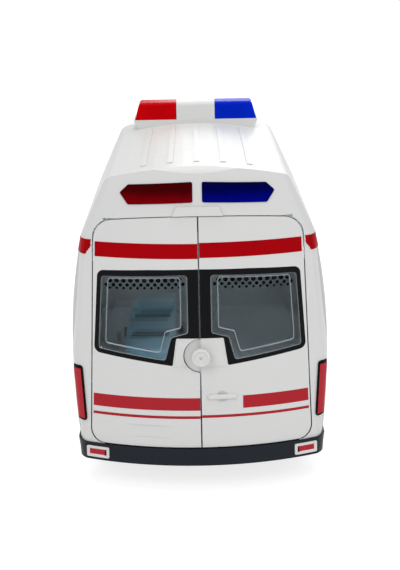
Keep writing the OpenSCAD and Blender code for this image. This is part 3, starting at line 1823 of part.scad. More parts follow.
lower_body();
roof_cap();
chassis();
rear_bumper();
front_bumper();
grille();
headlight_left();
headlight_right();
windshield();
side_glazing_left();
side_glazing_right();
mirror_left();
mirror_right();
tail_light_left();
tail_light_right();
bumper_reflector_left();
bumper_reflector_right();
rear_warning_lens_red();
rear_warning_lens_blue();
rear_lamp_board();
lightbar_base();
lightbar_lens_red();
lightbar_lens_blue();
lightbar_lamp_board();
interior_tub();
cab_interior();
steering_wheel();
stretcher_frame();
stretcher_bed();
stretcher_wheels();
motor_case();
battery_cells();
battery_cover();
circuit_board();
speaker();
chassis_screws();
rear_door_left();
window_surround_left();
rear_window_left();
hinge_pins_left();
rear_door_right();
window_surround_right();
rear_window_right();
hinge_pins_right();
door_knob();
front_axle();
front_rim_left();
front_rim_right();
front_tyre_left();
front_tyre_right();
rear_axle();
rear_rim_left();
rear_rim_right();
rear_tyre_left();
rear_tyre_right();
axle_gear();
idler_gear();
flywheel();
power_switch();
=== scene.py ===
"""Looks of the toy ambulance: finishes for its moulded parts, printed stripes, frames and small trim."""

import functools
import json
import math

import bmesh
import bpy
from bpy.props import FloatProperty, FloatVectorProperty, PointerProperty
from bpy.types import Operator, Panel, PropertyGroup
from mathutils import Matrix, Vector


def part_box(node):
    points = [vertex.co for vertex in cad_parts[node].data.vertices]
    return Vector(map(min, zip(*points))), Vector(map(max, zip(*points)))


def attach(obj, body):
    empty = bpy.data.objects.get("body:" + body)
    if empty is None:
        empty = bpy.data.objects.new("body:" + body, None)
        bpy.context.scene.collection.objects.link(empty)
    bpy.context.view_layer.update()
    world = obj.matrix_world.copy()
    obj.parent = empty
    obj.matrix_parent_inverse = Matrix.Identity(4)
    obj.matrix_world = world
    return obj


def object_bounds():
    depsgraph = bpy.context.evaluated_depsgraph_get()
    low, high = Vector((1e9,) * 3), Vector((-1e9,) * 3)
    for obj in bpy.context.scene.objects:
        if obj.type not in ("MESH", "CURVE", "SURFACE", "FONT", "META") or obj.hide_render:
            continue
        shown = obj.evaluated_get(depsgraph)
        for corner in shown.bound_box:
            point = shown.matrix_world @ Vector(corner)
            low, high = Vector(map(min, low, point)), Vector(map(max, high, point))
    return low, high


bl_info = {
    "name": "Toy ambulance looks",
    "version": (1, 0, 0),
    "blender": (4, 5, 0),
    "location": "View3D > Sidebar > Ambulance",
    "description": "Adds finishes, printed stripes and small trim to the packed toy ambulance",
    "category": "Object",
}

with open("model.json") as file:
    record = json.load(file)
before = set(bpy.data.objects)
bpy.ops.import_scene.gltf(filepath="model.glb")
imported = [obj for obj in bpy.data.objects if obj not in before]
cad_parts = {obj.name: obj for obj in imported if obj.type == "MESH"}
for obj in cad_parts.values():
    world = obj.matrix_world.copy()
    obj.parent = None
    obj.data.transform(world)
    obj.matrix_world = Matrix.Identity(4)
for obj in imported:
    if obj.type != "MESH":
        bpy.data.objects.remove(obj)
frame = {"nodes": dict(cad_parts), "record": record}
CAD_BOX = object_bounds()
NODES = frame["nodes"]
SLOT_OF = {s["node"]: s["material_slot"] for s in frame["record"]["subparts"]}

MM = 0.001
VAN, LEFT_DOOR, RIGHT_DOOR = "van", "left_door", "right_door"
REAR, FRONT, LEFT, RIGHT, TOP = "rear", "front", "left", "right", "top"
# Turns a flat sheet so that it faces out of the van
FACING = {REAR: (90, 0, 0), FRONT: (90, 0, 180), LEFT: (90, 0, -90), RIGHT: (90, 0, 90), TOP: (0, 0, 0)}
# Doors and sides of the van: -1 on the left and 1 on the right, the body that moves and the end of its names
DOORS = ((-1, LEFT_DOOR, "left"), (1, RIGHT_DOOR, "right"))
SIDES = ((-1, "left"), (1, "right"))
# Where a sheet starts before it is laid on the van, outside its box
STAND_OFF = 20 * MM
# How far a sheet beside the van may go to meet its outer wall, and not the far side of a hole in it
SIDE_REACH = 38 * MM
# How far laid pieces stand out of their wall: 0 is half of the thickness, and 1 is all of it
SIDE_PRINT_PROUD, FRAME_PROUD, STRAP_PROUD = 0.7, 0.4, 0.6
BLADE_PROUD, HANDLE_PROUD, LAMP_PROUD = 0.8, 0.5, 0.3
# Points of a CAD mesh that are closer than this are one point
MERGE_GAP = 0.01 * MM
SMOOTH_ANGLE = math.radians(32)
# Cuts along each long side of a flat frame, so that it follows a curved wall
RING_CUTS = 23
CORNER_SEGMENTS = 6
DISC_SIDES = 20


def linear(red, green, blue):
    """A colour as it looks on screen, 0 to 255, as the linear values that Blender keeps."""
    def one(level):
        level /= 255
        return level / 12.92 if level <= 0.04045 else ((level + 0.055) / 1.055) ** 2.4
    return one(red), one(green), one(blue)


def length(name, default, text):
    """A length of the panel, with its default in mm."""
    return FloatProperty(name=name, description=text, default=default * MM, min=0, unit="LENGTH", precision=5)


def colour(name, default, text):
    """A colour of the panel."""
    return FloatVectorProperty(name=name, description=text, default=default, size=3, min=0, max=1,
                               subtype="COLOR")


class AmbulanceSizes(PropertyGroup):
    """Sizes of the prints and of the small trim."""

    print_t: length("Print thickness", 0.14, "Thickness of a printed film, half of it standing proud")
    print_step: length("Print step", 2.0, "Largest face of a printed film")
    side_print_t: length("Side print thickness", 0.26, "Thickness of a film along a side")
    side_step: length("Side print step", 0.6, "Largest face of a film that follows the rear corners")
    stripe_low_z: length("Stripe height", 38.0, "Lower edge of the thick stripe on the doors")
    stripe_h: length("Stripe width", 5.6, "Width of the thick stripe")
    stripe_start_x: length("Stripe start", 18.3, "Where the thick stripe starts beside the bar handle")
    pinstripe_z: length("Pinstripe height", 34.3, "Lower edge of the thin stripe")
    pinstripe_h: length("Pinstripe width", 1.2, "Width of the thin stripe")
    band_low_z: length("Band height", 104.8, "Lower edge of the red band above the windows")
    band_h: length("Band width", 6.5, "Width of the red band above the windows")
    split_gap: length("Gap at the split", 0.35, "Bare strip beside the split between the doors")
    edge_gap: length("Gap at the edge", 0.7, "Bare strip beside a door's outer edge")
    side_band_low_z: length("Side band height", 105.0, "Lower edge of the band along the sides")
    side_band_h: length("Side band width", 6.6, "Width of the band along the sides")
    side_stripe_z: length("Side stripe height", 46.0, "Lower edge of the thick stripe along the sides")
    side_pinstripe_z: length("Side pinstripe height", 42.6, "Lower edge of the thin stripe along the sides")
    dot_pitch: length("Dot pitch", 3.02, "Distance between the dots of a row")
    dot_drop: length("Dot drop", 2.35, "First row of dots under the window's upper edge")
    # The bright edge of a window's step is a painted highlight, a thin light grey wire
    window_edge_r: length("Window edge", 0.16, "Half the width of the bright edge of a window's step")
    rim_w: length("Tail light rim", 1.0, "Width of the black rim of a tail light")
    frame_w: length("Reflector frame width", 10.0, "Width of the white frame of a reflector")
    frame_h: length("Reflector frame height", 4.9, "Height of the white frame of a reflector")
    frame_rim: length("Reflector frame rim", 1.1, "Width of the rim of the white frame")
    frame_t: length("Reflector frame depth", 0.8, "Thickness of the white frame of a reflector")
    line_w: length("Panel line", 0.5, "Width of the lines round the side doors")
    line_t: length("Panel line thickness", 0.06, "Thickness of the lines round the side doors")
    strap_w: length("Strap width", 5.0, "Width of the straps over the stretcher")
    strap_t: length("Strap thickness", 0.6, "Thickness of the straps over the stretcher")
    strap_margin: length("Strap margin", 2.6, "How far a strap ends inside the edge of the bed")
    blade_w: length("Wiper width", 1.3, "Width of a wiper blade")
    blade_t: length("Wiper thickness", 0.9, "Thickness of a wiper blade")
    mirror_rim: length("Mirror rim", 0.7, "Width of the housing that shows round a mirror's glass")
    mirror_face: length("Mirror face", 5.0, "Width of a mirror's housing, beyond its arm")
    handle_l: length("Side handle length", 9.0, "Length of a pull handle on a side door")
    handle_h: length("Side handle height", 2.4, "Height of a pull handle on a side door")
    handle_t: length("Side handle thickness", 1.6, "Thickness of a pull handle on a side door")
    handle_edge: length("Side handle edge", 0.5, "Rounding of a pull handle's edges")
    bowl_t: length("Lamp bowl depth", 0.5, "Thickness of a headlight's lamp bowl")
    bulb_t: length("Lamp bulb depth", 1.4, "Thickness of a headlight's bulb")
    bulb_share: FloatProperty(name="Bulb share", description="A bulb's radius as a share of its bowl's",
                              default=0.42)


class AmbulanceColours(PropertyGroup):
    """Colours of the finishes."""

    shell: colour("Shell", (0.625, 0.627, 0.615), "White plastic of the body and doors")
    band_red: colour("Band red", linear(158, 0, 8), "Red of the band above the windows")
    stripe_red: colour("Stripe red", linear(166, 40, 48), "Red of the stripes low on the doors")
    black: colour("Black", linear(4, 4, 6), "Surrounds of the rear windows")
    bumper: colour("Bumper", linear(25, 29, 36), "Dark plastic of the bumpers")
    chassis: colour("Chassis", linear(46, 49, 54), "Plastic of the chassis plate")
    grille: colour("Grille", linear(24, 26, 30), "Plastic of the grille and the wipers")
    dots: colour("Dots", linear(6, 7, 9), "Dots on the rear windows")
    panel_line: colour("Panel line", linear(96, 98, 100), "Lines round the side doors")
    # Colour of the painted highlights along the steps of the rear windows
    window_edge: colour("Window edge", linear(150, 158, 164), "Polished edges of the rear windows")
    glass: colour("Glass", (0.75, 0.85, 0.88), "Tint of the windows")
    headlight: colour("Headlight", (0.92, 0.94, 0.96), "Clear lens of the headlights")
    bar_red: colour("Bar red", linear(222, 0, 12), "Red lens of the light bar")
    bar_blue: colour("Bar blue", linear(0, 44, 218), "Blue lens of the light bar")
    warn_red: colour("Warning red", linear(128, 0, 12), "Red lens over the doors")
    warn_blue: colour("Warning blue", linear(0, 6, 136), "Blue lens over the doors")
    tail_red: colour("Tail red", linear(190, 52, 61), "Tail lights and bumper reflectors")
    tail_rim: colour("Tail rim", linear(12, 12, 14), "Black rim of the tail lights")
    tub: colour("Tub", linear(220, 226, 230), "Floor and bulkhead behind the doors")
    cab: colour("Cab", linear(92, 97, 104), "Seats and dashboard")
    bed: colour("Bed", linear(158, 208, 230), "Stretcher bed")
    strap: colour("Strap", linear(52, 60, 72), "Straps over the stretcher")
    stretcher: colour("Stretcher", linear(180, 184, 190), "Frame of the stretcher")
    board: colour("Board", linear(18, 46, 32), "Circuit and lamp boards")
    case: colour("Case", linear(206, 209, 210), "Case of the motor")
    cell: colour("Cell", linear(206, 150, 40), "Wrap of the cells")
    gear: colour("Gear", linear(238, 232, 214), "Gears of the motor")
    steel: colour("Steel", linear(188, 190, 192), "Axles, pins and screws")
    zinc: colour("Zinc", linear(160, 163, 168), "Flywheel")
    rim: colour("Rim", linear(190, 193, 197), "Silvered wheel rims")
    tyre: colour("Tyre", linear(26, 26, 28), "Rubber of the tyres")
    mirror: colour("Mirror", linear(214, 218, 222), "Glass of the mirrors")
    lamp_bowl: colour("Lamp bowl", linear(226, 228, 230), "Bowls of the headlights")
    lamp_bulb: colour("Lamp bulb", linear(250, 240, 205), "Bulbs of the headlights")


def deselect():
    """Leaves edit mode and lets go of everything."""
    if bpy.context.object and bpy.context.object.mode != "OBJECT":
        bpy.ops.object.mode_set(mode="OBJECT")
    bpy.ops.object.select_all(action="DESELECT")


def pick(piece):
    """Makes a piece the only one that operators act on."""
    deselect()
    piece.select_set(True)
    bpy.context.view_layer.objects.active = piece


def named(name):
    """Names the piece that was just added, with its place in its mesh."""
    piece = bpy.context.object
    piece.name = piece.data.name = name
    bpy.ops.object.transform_apply(location=True, rotation=True, scale=True)
    return piece


def edit(piece, choose=None, mode="FACE"):
    """Opens a piece in edit mode with the chosen faces or edges selected, or all of them."""
    pick(piece)
    bpy.ops.object.mode_set(mode="EDIT")
    bpy.ops.mesh.select_mode(type=mode)
    bpy.ops.mesh.select_all(action="SELECT" if choose is None else "DESELECT")
    if choose is not None:
        form = bmesh.from_edit_mesh(piece.data)
        for part in {"FACE": form.faces, "EDGE": form.edges, "VERT": form.verts}[mode]:
            part.select_set(choose(part))
        form.select_flush_mode()
        bmesh.update_edit_mesh(piece.data)


def modify(piece, kind, **values):
    """Adds a modifier and applies it."""
    pick(piece)
    tool = piece.modifiers.new(kind.lower(), kind)
    for name, value in values.items():
        setattr(tool, name, value)
    bpy.ops.object.modifier_apply(modifier=tool.name)


def dress(piece, body, look):
    """Gives a finished piece its finish and body."""
    pick(piece)
    bpy.ops.object.transform_apply(location=True, rotation=True, scale=True)
    bpy.ops.object.shade_smooth_by_angle(angle=SMOOTH_ANGLE)
    piece.data.materials.clear()
    piece.data.materials.append(finish(look))
    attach(piece, body)


def sizes():
    return bpy.context.scene.ambulance_sizes


def colours():
    return bpy.context.scene.ambulance_colours


# Printed films

def place_on(face, across, up):
    """A point outside the van, across the given face and up it."""
    low, high = CAD_BOX
    return {
        REAR: (across, low[1] - STAND_OFF, up),
        FRONT: (across, high[1] + STAND_OFF, up),
        LEFT: (low[0] - STAND_OFF, across, up),
        RIGHT: (high[0] + STAND_OFF, across, up),
        TOP: (across, up, high[2] + STAND_OFF),
    }[face]


def stretch(face, wide, tall):
    """How a unit sheet on a face is resized to its width and height."""
    return {REAR: (wide, 1, tall), FRONT: (wide, 1, tall), LEFT: (1, wide, tall), RIGHT: (1, wide, tall),
            TOP: (wide, tall, 1)}[face]


def turned(face):
    """How a flat sheet is turned to lie along a face."""
    return [math.radians(angle) for angle in FACING[face]]


def film(name, face, across, up, step, trims=()):
    """A fine flat sheet beside the van. What lies past each trim, a point and a direction, is cut off."""
    wide, tall = across[1] - across[0], up[1] - up[0]
    deselect()
    bpy.ops.mesh.primitive_grid_add(
        x_subdivisions=max(1, math.ceil(wide / step)), y_subdivisions=max(1, math.ceil(tall / step)), size=1,
        location=place_on(face, sum(across) / 2, sum(up) / 2), rotation=turned(face))
    bpy.ops.transform.resize(value=stretch(face, wide, tall))
    piece = named(name)
    for point, beyond in trims:
        edit(piece)
        bpy.ops.mesh.bisect(plane_co=point, plane_no=beyond, clear_outer=True)
    deselect()
    return piece


def ring(name, face, across, up, corner, width, lean=0.0):
    """A flat frame beside the van with rounded corners. Its upper front corner moves back by lean."""
    wide, tall = across[1] - across[0], up[1] - up[0]
    deselect()
    bpy.ops.mesh.primitive_plane_add(size=1, location=place_on(face, sum(across) / 2, sum(up) / 2),
                                     rotation=turned(face))
    bpy.ops.transform.resize(value=stretch(face, wide, tall))
    piece = named(name)
    if lean:
        edit(piece, lambda point: point.co.z > sum(up) / 2 and point.co.y > sum(across) / 2, "VERT")
        bpy.ops.transform.translate(value=(0, -lean, 0))
    edit(piece, mode="VERT")
    bpy.ops.mesh.bevel(offset=corner, segments=CORNER_SEGMENTS, affect="VERTICES")
    edit(piece)
    bpy.ops.mesh.inset(thickness=width)
    bpy.ops.mesh.delete(type="FACE")
    edit(piece, lambda side: side.calc_length() > 2 * corner, "EDGE")
    bpy.ops.mesh.subdivide(number_cuts=RING_CUTS)
    deselect()
    return piece


def disc(radius, inset, face):
    """A round flat sheet with an edge loop inside it, turned to a face."""
    deselect()
    bpy.ops.mesh.primitive_circle_add(vertices=DISC_SIDES, radius=radius, fill_type="NGON",
                                      rotation=turned(face))
    piece = named("disc")
    edit(piece)
    bpy.ops.mesh.inset(thickness=inset)
    deselect()
    return piece


def copies(piece, name, places):
    """Copies of a flat piece, each moved and resized, joined into one piece."""
    made = []
    for place, size in places:
        twin = piece.copy()
        twin.data = piece.data.copy()
        bpy.context.collection.objects.link(twin)
        twin.matrix_world = Matrix.Translation(place) @ Matrix.Diagonal((size, size, size, 1))
        made.append(twin)
    pick(piece)
    bpy.ops.object.delete()
    deselect()
    for twin in made:
        twin.select_set(True)
    bpy.context.view_layer.objects.active = made[0]
    bpy.ops.object.join()
    return named(name)


def wire(name, node, choose, radius):
    """A thin wire along the chosen edges of a CAD node, drawn from a merged copy of its mesh."""
    piece = bpy.data.objects.new(name, NODES[node].data.copy())
    bpy.context.collection.objects.link(piece)
    edit(piece, mode="VERT")
    bpy.ops.mesh.remove_doubles(threshold=MERGE_GAP)
    edit(piece, choose, "EDGE")
    bpy.ops.mesh.select_all(action="INVERT")
    bpy.ops.mesh.delete(type="EDGE")
    pick(piece)
    bpy.ops.object.convert(target="CURVE")
    piece.data.bevel_depth = radius
    piece.data.bevel_resolution = 1
    piece.data.use_fill_caps = True
    bpy.ops.object.convert(target="MESH")
    return named(name)


def stands_off(point):
    """True for a point that is still outside the van's box, because it found no wall."""
    low, high = CAD_BOX
    return any(place < least - STAND_OFF / 2 or place > most + STAND_OFF / 2
               for place, least, most in zip(point.co, low, high))


def lay(piece, face, target, thick, proud=0.0, reach=0.0):
    """Lays a sheet on a CAD node, along the view of its face, and gives it its thickness.

    It goes no deeper than its reach, where that isn't zero. What finds no wall is deleted.
    """
    ahead = face in (REAR, LEFT)
    modify(piece, "SHRINKWRAP", target=NODES[target], wrap_method="PROJECT", offset=0.0, project_limit=reach,
           use_project_x=face in (LEFT, RIGHT), use_project_y=face in (REAR, FRONT), use_project_z=face == TOP,
           use_positive_direction=ahead, use_negative_direction=not ahead)
    edit(piece, stands_off, "VERT")
    bpy.ops.mesh.delete(type="VERT")
    deselect()
    modify(piece, "SOLIDIFY", thickness=thick, offset=proud)


# Finishes

def group_nodes(name, inputs, outputs):
    """An empty node group with its sockets, and its two ends."""
    group = bpy.data.node_groups.new(name, "ShaderNodeTree")
    kinds = {"colour": "NodeSocketColor", "value": "NodeSocketFloat"}
    for title, kind, default in inputs:
        socket = group.interface.new_socket(title, in_out="INPUT", socket_type=kinds[kind])
        socket.default_value = default
    for title, kind in outputs:
        group.interface.new_socket(title, in_out="OUTPUT", socket_type=kinds[kind])
    start = group.nodes.new("NodeGroupInput")
    end = group.nodes.new("NodeGroupOutput")
    return group, start, end


def add(tree, kind, **values):
    """Adds a node. Values name its settings, or its inputs where they start with in_."""
    made = tree.nodes.new("ShaderNode" + kind)
    for name, value in values.items():
        if name.startswith("in_"):
            made.inputs[name[3:].replace("_", " ")].default_value = value
        else:
            setattr(made, name, value)
    return made


def maths(tree, operation, *values):
    """A math node on sockets and numbers, and its result."""
    made = add(tree, "Math", operation=operation)
    for socket, value in zip(made.inputs, values):
        if isinstance(value, float):
            socket.default_value = value
        else:
            tree.links.new(value, socket)
    return made.outputs[0]


def mix_colour(tree):
    """A colour mix node: its factor, two colours and result."""
    made = add(tree, "Mix", data_type="RGBA")
    return made.inputs[0], made.inputs[6], made.inputs[7], made.outputs[2]


@functools.cache
def moulded_skin():
    """Moulded plastic: slow drift of colour and gloss, with the fine peel of a polished mould."""
    group, start, end = group_nodes(
        "moulded_skin",
        [("Colour", "colour", (0.8, 0.8, 0.8, 1)), ("Drift", "value", 0.04), ("Gloss from", "value", 0.25),
         ("Gloss to", "value", 0.35), ("Grain", "value", 900.0)],
        [("Colour", "colour"), ("Roughness", "value"), ("Height", "value")])
    where = add(group, "TexCoord")
    slow = add(group, "TexNoise", in_Scale=34.0, in_Detail=3.0, in_Roughness=0.55)
    fine = add(group, "TexNoise", in_Detail=2.0, in_Roughness=0.6)
    smear = add(group, "TexNoise", in_Scale=120.0, in_Detail=4.0, in_Roughness=0.6)
    link = group.links.new
    for noise in (slow, fine, smear):
        link(where.outputs["Object"], noise.inputs["Vector"])
    link(start.outputs["Grain"], fine.inputs["Scale"])
    half = maths(group, "SUBTRACT", slow.outputs["Fac"], 0.5)
    swing = maths(group, "MULTIPLY_ADD", half, start.outputs["Drift"], 1.0)
    shade = add(group, "VectorMath", operation="SCALE")
    link(start.outputs["Colour"], shade.inputs[0])
    link(swing, shade.inputs["Scale"])
    gloss = add(group, "MapRange", in_From_Min=0.3, in_From_Max=0.7)
    link(smear.outputs["Fac"], gloss.inputs["Value"])
    link(start.outputs["Gloss from"], gloss.inputs["To Min"])
    link(start.outputs["Gloss to"], gloss.inputs["To Max"])
    link(shade.outputs[0], end.inputs["Colour"])
    link(gloss.outputs[0], end.inputs["Roughness"])
    link(fine.outputs["Fac"], end.inputs["Height"])
    return group


@functools.cache
def lens_flutes():
    """Fluted lens: even ribs across it as bumps, its colour a little deeper in random blots, and painted shade
    that darkens it above a given height.
    """
    group, start, end = group_nodes(
        "lens_flutes",
        [("Colour", "colour", (0.6, 0.0, 0.0, 1)), ("Deep", "value", 0.3), ("Ribs", "value", 60.0),
         ("Upright", "value", 1.0), ("Low", "value", 0.0), ("High", "value", 1.0), ("Dim", "value", 1.0)],
        [("Colour", "colour"), ("Height", "value")])
    where = add(group, "TexCoord")
    apart = add(group, "SeparateXYZ")
    link = group.links.new
    link(where.outputs["Object"], apart.inputs[0])
    along = add(group, "Mix", data_type="FLOAT")
    link(start.outputs["Upright"], along.inputs[0])
    link(apart.outputs["Z"], along.inputs[2])
    link(apart.outputs["X"], along.inputs[3])
    turn = maths(group, "MULTIPLY", along.outputs[0], start.outputs["Ribs"])
    lift = add(group, "MapRange", in_From_Min=-1.0)
    link(maths(group, "SINE", turn), lift.inputs["Value"])
    blot = add(group, "TexNoise", in_Scale=160.0, in_Detail=2.0)
    link(where.outputs["Object"], blot.inputs["Vector"])
    depth = maths(group, "MULTIPLY", blot.outputs["Fac"], start.outputs["Deep"])
    keep = maths(group, "SUBTRACT", 1.0, depth)
    # Painted shade: between the heights Low and High the colour darkens to the share that is left at the top
    fade = add(group, "MapRange", interpolation_type="SMOOTHSTEP", in_To_Min=1.0)
    link(apart.outputs["Z"], fade.inputs["Value"])
    link(start.outputs["Low"], fade.inputs["From Min"])
    link(start.outputs["High"], fade.inputs["From Max"])
    link(start.outputs["Dim"], fade.inputs["To Max"])
    shade = add(group, "VectorMath", operation="SCALE")
    link(start.outputs["Colour"], shade.inputs[0])
    link(maths(group, "MULTIPLY", keep, fade.outputs[0]), shade.inputs["Scale"])
    link(shade.outputs[0], end.inputs["Colour"])
    link(lift.outputs[0], end.inputs["Height"])
    return group


def blank(name):
    """A new material with its shader, and nothing else set."""
    made = bpy.data.materials.new(name)
    made.use_nodes = True
    shader = made.node_tree.nodes["Principled BSDF"]
    return made, made.node_tree, shader


def put(made, **values):
    """Sets a node's inputs by their names."""
    for name, value in values.items():
        made.inputs[name.replace("_", " ")].default_value = value


def use_group(tree, group, **values):
    """Places a node group in a material with its own values."""
    made = tree.nodes.new("ShaderNodeGroup")
    made.node_tree = group
    put(made, **values)
    return made


def bump(tree, shader, height, depth, strength):
    """Feeds a height into the shader's normal."""
    made = add(tree, "Bump", in_Strength=strength, in_Distance=depth)
    tree.links.new(height, made.inputs["Height"])
    tree.links.new(made.outputs[0], shader.inputs["Normal"])


def tint(tone):
    """A colour of the panel, as a shader takes it."""
    return (*getattr(colours(), tone), 1)


def skinned(name, tone, gloss, drift, grain, depth, strength):
    """A new material with a moulded skin, and its shader."""
    made, tree, shader = blank(name)
    skin = use_group(tree, moulded_skin(), Colour=tint(tone), Drift=drift, Gloss_from=gloss[0],
                     Gloss_to=gloss[1], Grain=grain)
    tree.links.new(skin.outputs["Colour"], shader.inputs["Base Color"])
    tree.links.new(skin.outputs["Roughness"], shader.inputs["Roughness"])
    bump(tree, shader, skin.outputs["Height"], depth, strength)
    return made, shader


def plastic(name, tone, gloss=(0.24, 0.34), drift=0.05, grain=900.0, depth=0.03 * MM, strength=0.25, shine=0.5,
            metal=0.0):
    """Moulded plastic, rubber or metal in one colour."""
    made, shader = skinned(name, tone, gloss, drift, grain, depth, strength)
    put(shader, Metallic=metal, Specular_IOR_Level=shine)
    return made


def pane(name, cover, bend, **skin):
    """Clear moulded window plastic, with a faint ripple."""
    made, shader = skinned(name, **skin)
    put(shader, IOR=bend, Transmission_Weight=1.0, Alpha=cover)
    return made


def lens(name, tone, through, rough, ribs, upright=1.0, deep=0.25, depth=0.2 * MM, strength=0.35,
         fade=(0.0, 1.0, 1.0), shine=0.5, bend=1.49):
    """Coloured transparent plastic with flutes."""
    made, tree, shader = blank(name)
    flutes = use_group(tree, lens_flutes(), Colour=tint(tone), Deep=deep, Ribs=ribs, Upright=upright,
                       Low=fade[0], High=fade[1], Dim=fade[2])
    tree.links.new(flutes.outputs["Colour"], shader.inputs["Base Color"])
    put(shader, Roughness=rough, IOR=bend, Transmission_Weight=through, Specular_IOR_Level=shine)
    bump(tree, shader, flutes.outputs["Height"], depth, strength)
    return made


# Painted shade on the warning lenses: heights over which their colour darkens towards the top, and what is left
# of it at the top
WARN_PAINTED_SHADE = (128.5 * MM, 134.5 * MM, 0.3)
# Inner edge of a tail light at its lower and upper end, as x and z, and its front edge
TAIL_EDGE = ((50.6 * MM, 30 * MM), (52.0 * MM, 54.5 * MM))
TAIL_FRONT_Y = -101.43 * MM


@functools.cache
def rim_mask():
    """White within the rim of a tail light, by the distance from its edges."""
    group, start, end = group_nodes("tail_rim", [("Rim", "value", 0.001)], [("Mask", "value")])
    link = group.links.new
    where = add(group, "TexCoord")
    apart = add(group, "SeparateXYZ")
    link(where.outputs["Object"], apart.inputs[0])
    (x0, z0), (x1, z1) = TAIL_EDGE
    lean = (x1 - x0) / (z1 - z0)
    up = apart.outputs["Z"]
    shear = maths(group, "MULTIPLY_ADD", up, -lean, maths(group, "ABSOLUTE", apart.outputs["X"]))
    nearest = maths(group, "SUBTRACT", shear, x0 - lean * z0)
    for source, way, shift in ((up, 1.0, -z0), (up, -1.0, z1), (apart.outputs["Y"], -1.0, TAIL_FRONT_Y)):
        gap = maths(group, "MULTIPLY_ADD", source, way, shift)
        nearest = maths(group, "MINIMUM", nearest, gap)
    link(maths(group, "LESS_THAN", nearest, start.outputs["Rim"]), end.inputs["Mask"])
    return group


def rimmed_lens(name, **values):
    """A tail light's fluted lens with its black rim."""
    made = lens(name, **values)
    tree = made.node_tree
    shader = tree.nodes["Principled BSDF"]
    flutes = shader.inputs["Base Color"].links[0].from_socket
    mask = use_group(tree, rim_mask(), Rim=sizes().rim_w)
    factor, first, second, result = mix_colour(tree)
    tree.links.new(mask.outputs["Mask"], factor)
    tree.links.new(flutes, first)
    second.default_value = tint("tail_rim")
    tree.links.new(result, shader.inputs["Base Color"])
    return made


# What the printed films share, and then every finish of plastic, rubber and metal
FILM = dict(gloss=(0.32, 0.44), drift=0.08, grain=1800.0, depth=0.02 * MM, strength=0.2, shine=0.03)
PLASTICS = {
    "white_shell": dict(tone="shell", gloss=(0.32, 0.42), drift=0.03, grain=500.0, strength=0.08, shine=0.35),
    "black_surround": dict(tone="black", gloss=(0.16, 0.26), drift=0.2, grain=700.0, shine=0.1),
    "bumper_plastic": dict(tone="bumper", gloss=(0.36, 0.5), drift=0.25, grain=2600.0, depth=0.05 * MM,
                           strength=0.4, shine=0.14),
    "chassis_plastic": dict(tone="chassis", gloss=(0.45, 0.6), drift=0.25, grain=2600.0, depth=0.06 * MM,
                            strength=0.4),
    "grille_plastic": dict(tone="grille", gloss=(0.32, 0.45), drift=0.25, grain=2200.0, depth=0.05 * MM,
                           strength=0.35),
    "lamp_board": dict(tone="board", gloss=(0.35, 0.5), drift=0.3, grain=1500.0),
    "tub_plastic": dict(tone="tub", gloss=(0.4, 0.55), drift=0.08, grain=1400.0),
    "cab_plastic": dict(tone="cab", gloss=(0.45, 0.6), drift=0.15, grain=2200.0, depth=0.06 * MM, strength=0.4),
    "bed_plastic": dict(tone="bed", gloss=(0.4, 0.5), drift=0.1, grain=1200.0),
    "strap_webbing": dict(tone="strap", gloss=(0.55, 0.7), drift=0.2, grain=3200.0, depth=0.08 * MM,
                          strength=0.5, shine=0.2),
    "stretcher_frame": dict(tone="stretcher", gloss=(0.3, 0.4), drift=0.06, grain=1200.0),
    "case_plastic": dict(tone="case", gloss=(0.4, 0.5), drift=0.08, grain=1600.0),
    "cell_wrap": dict(tone="cell", gloss=(0.2, 0.3), drift=0.15, grain=300.0),
    "gear_plastic": dict(tone="gear", gloss=(0.35, 0.45), drift=0.06, grain=1400.0),
    "steel": dict(tone="steel", gloss=(0.24, 0.4), drift=0.12, grain=3200.0, depth=0.02 * MM, strength=0.3,
                  metal=1.0),
    "zinc": dict(tone="zinc", gloss=(0.4, 0.55), drift=0.2, grain=2400.0, depth=0.05 * MM, strength=0.4,
                 metal=1.0),
    "rim_silver": dict(tone="rim", gloss=(0.2, 0.32), drift=0.1, grain=1800.0, depth=0.02 * MM, strength=0.3,
                       metal=0.85),
    "tyre_rubber": dict(tone="tyre", gloss=(0.6, 0.78), drift=0.35, grain=2600.0, depth=0.1 * MM, strength=0.5),
    # Painted highlight: light glossy grey wires along the steps of the rear windows
    "painted_highlight_edge": dict(tone="window_edge", gloss=(0.08, 0.14), drift=0.3, grain=300.0, depth=0.01 * MM,
                          strength=0.05),
    "mirror_silver": dict(tone="mirror", gloss=(0.05, 0.09), drift=0.02, grain=300.0, depth=0.01 * MM,
                          strength=0.05, metal=1.0),
    "lamp_silver": dict(tone="lamp_bowl", gloss=(0.1, 0.16), drift=0.04, grain=300.0, depth=0.01 * MM,
                        strength=0.05, metal=1.0),
    "lamp_bulb": dict(tone="lamp_bulb", gloss=(0.1, 0.16), drift=0.04, grain=300.0),
    "band_red": dict(tone="band_red", **FILM),
    "stripe_red": dict(tone="stripe_red", **FILM),
    "dot_black": dict(tone="dots", **FILM),
    "line_grey": dict(tone="panel_line", **FILM),
}
# What lenses of one kind share, and then every finish of lenses and windows
BAR_LENS = dict(through=0.3, rough=0.26, ribs=2600.0, strength=0.04, shine=0.08, bend=1.15)
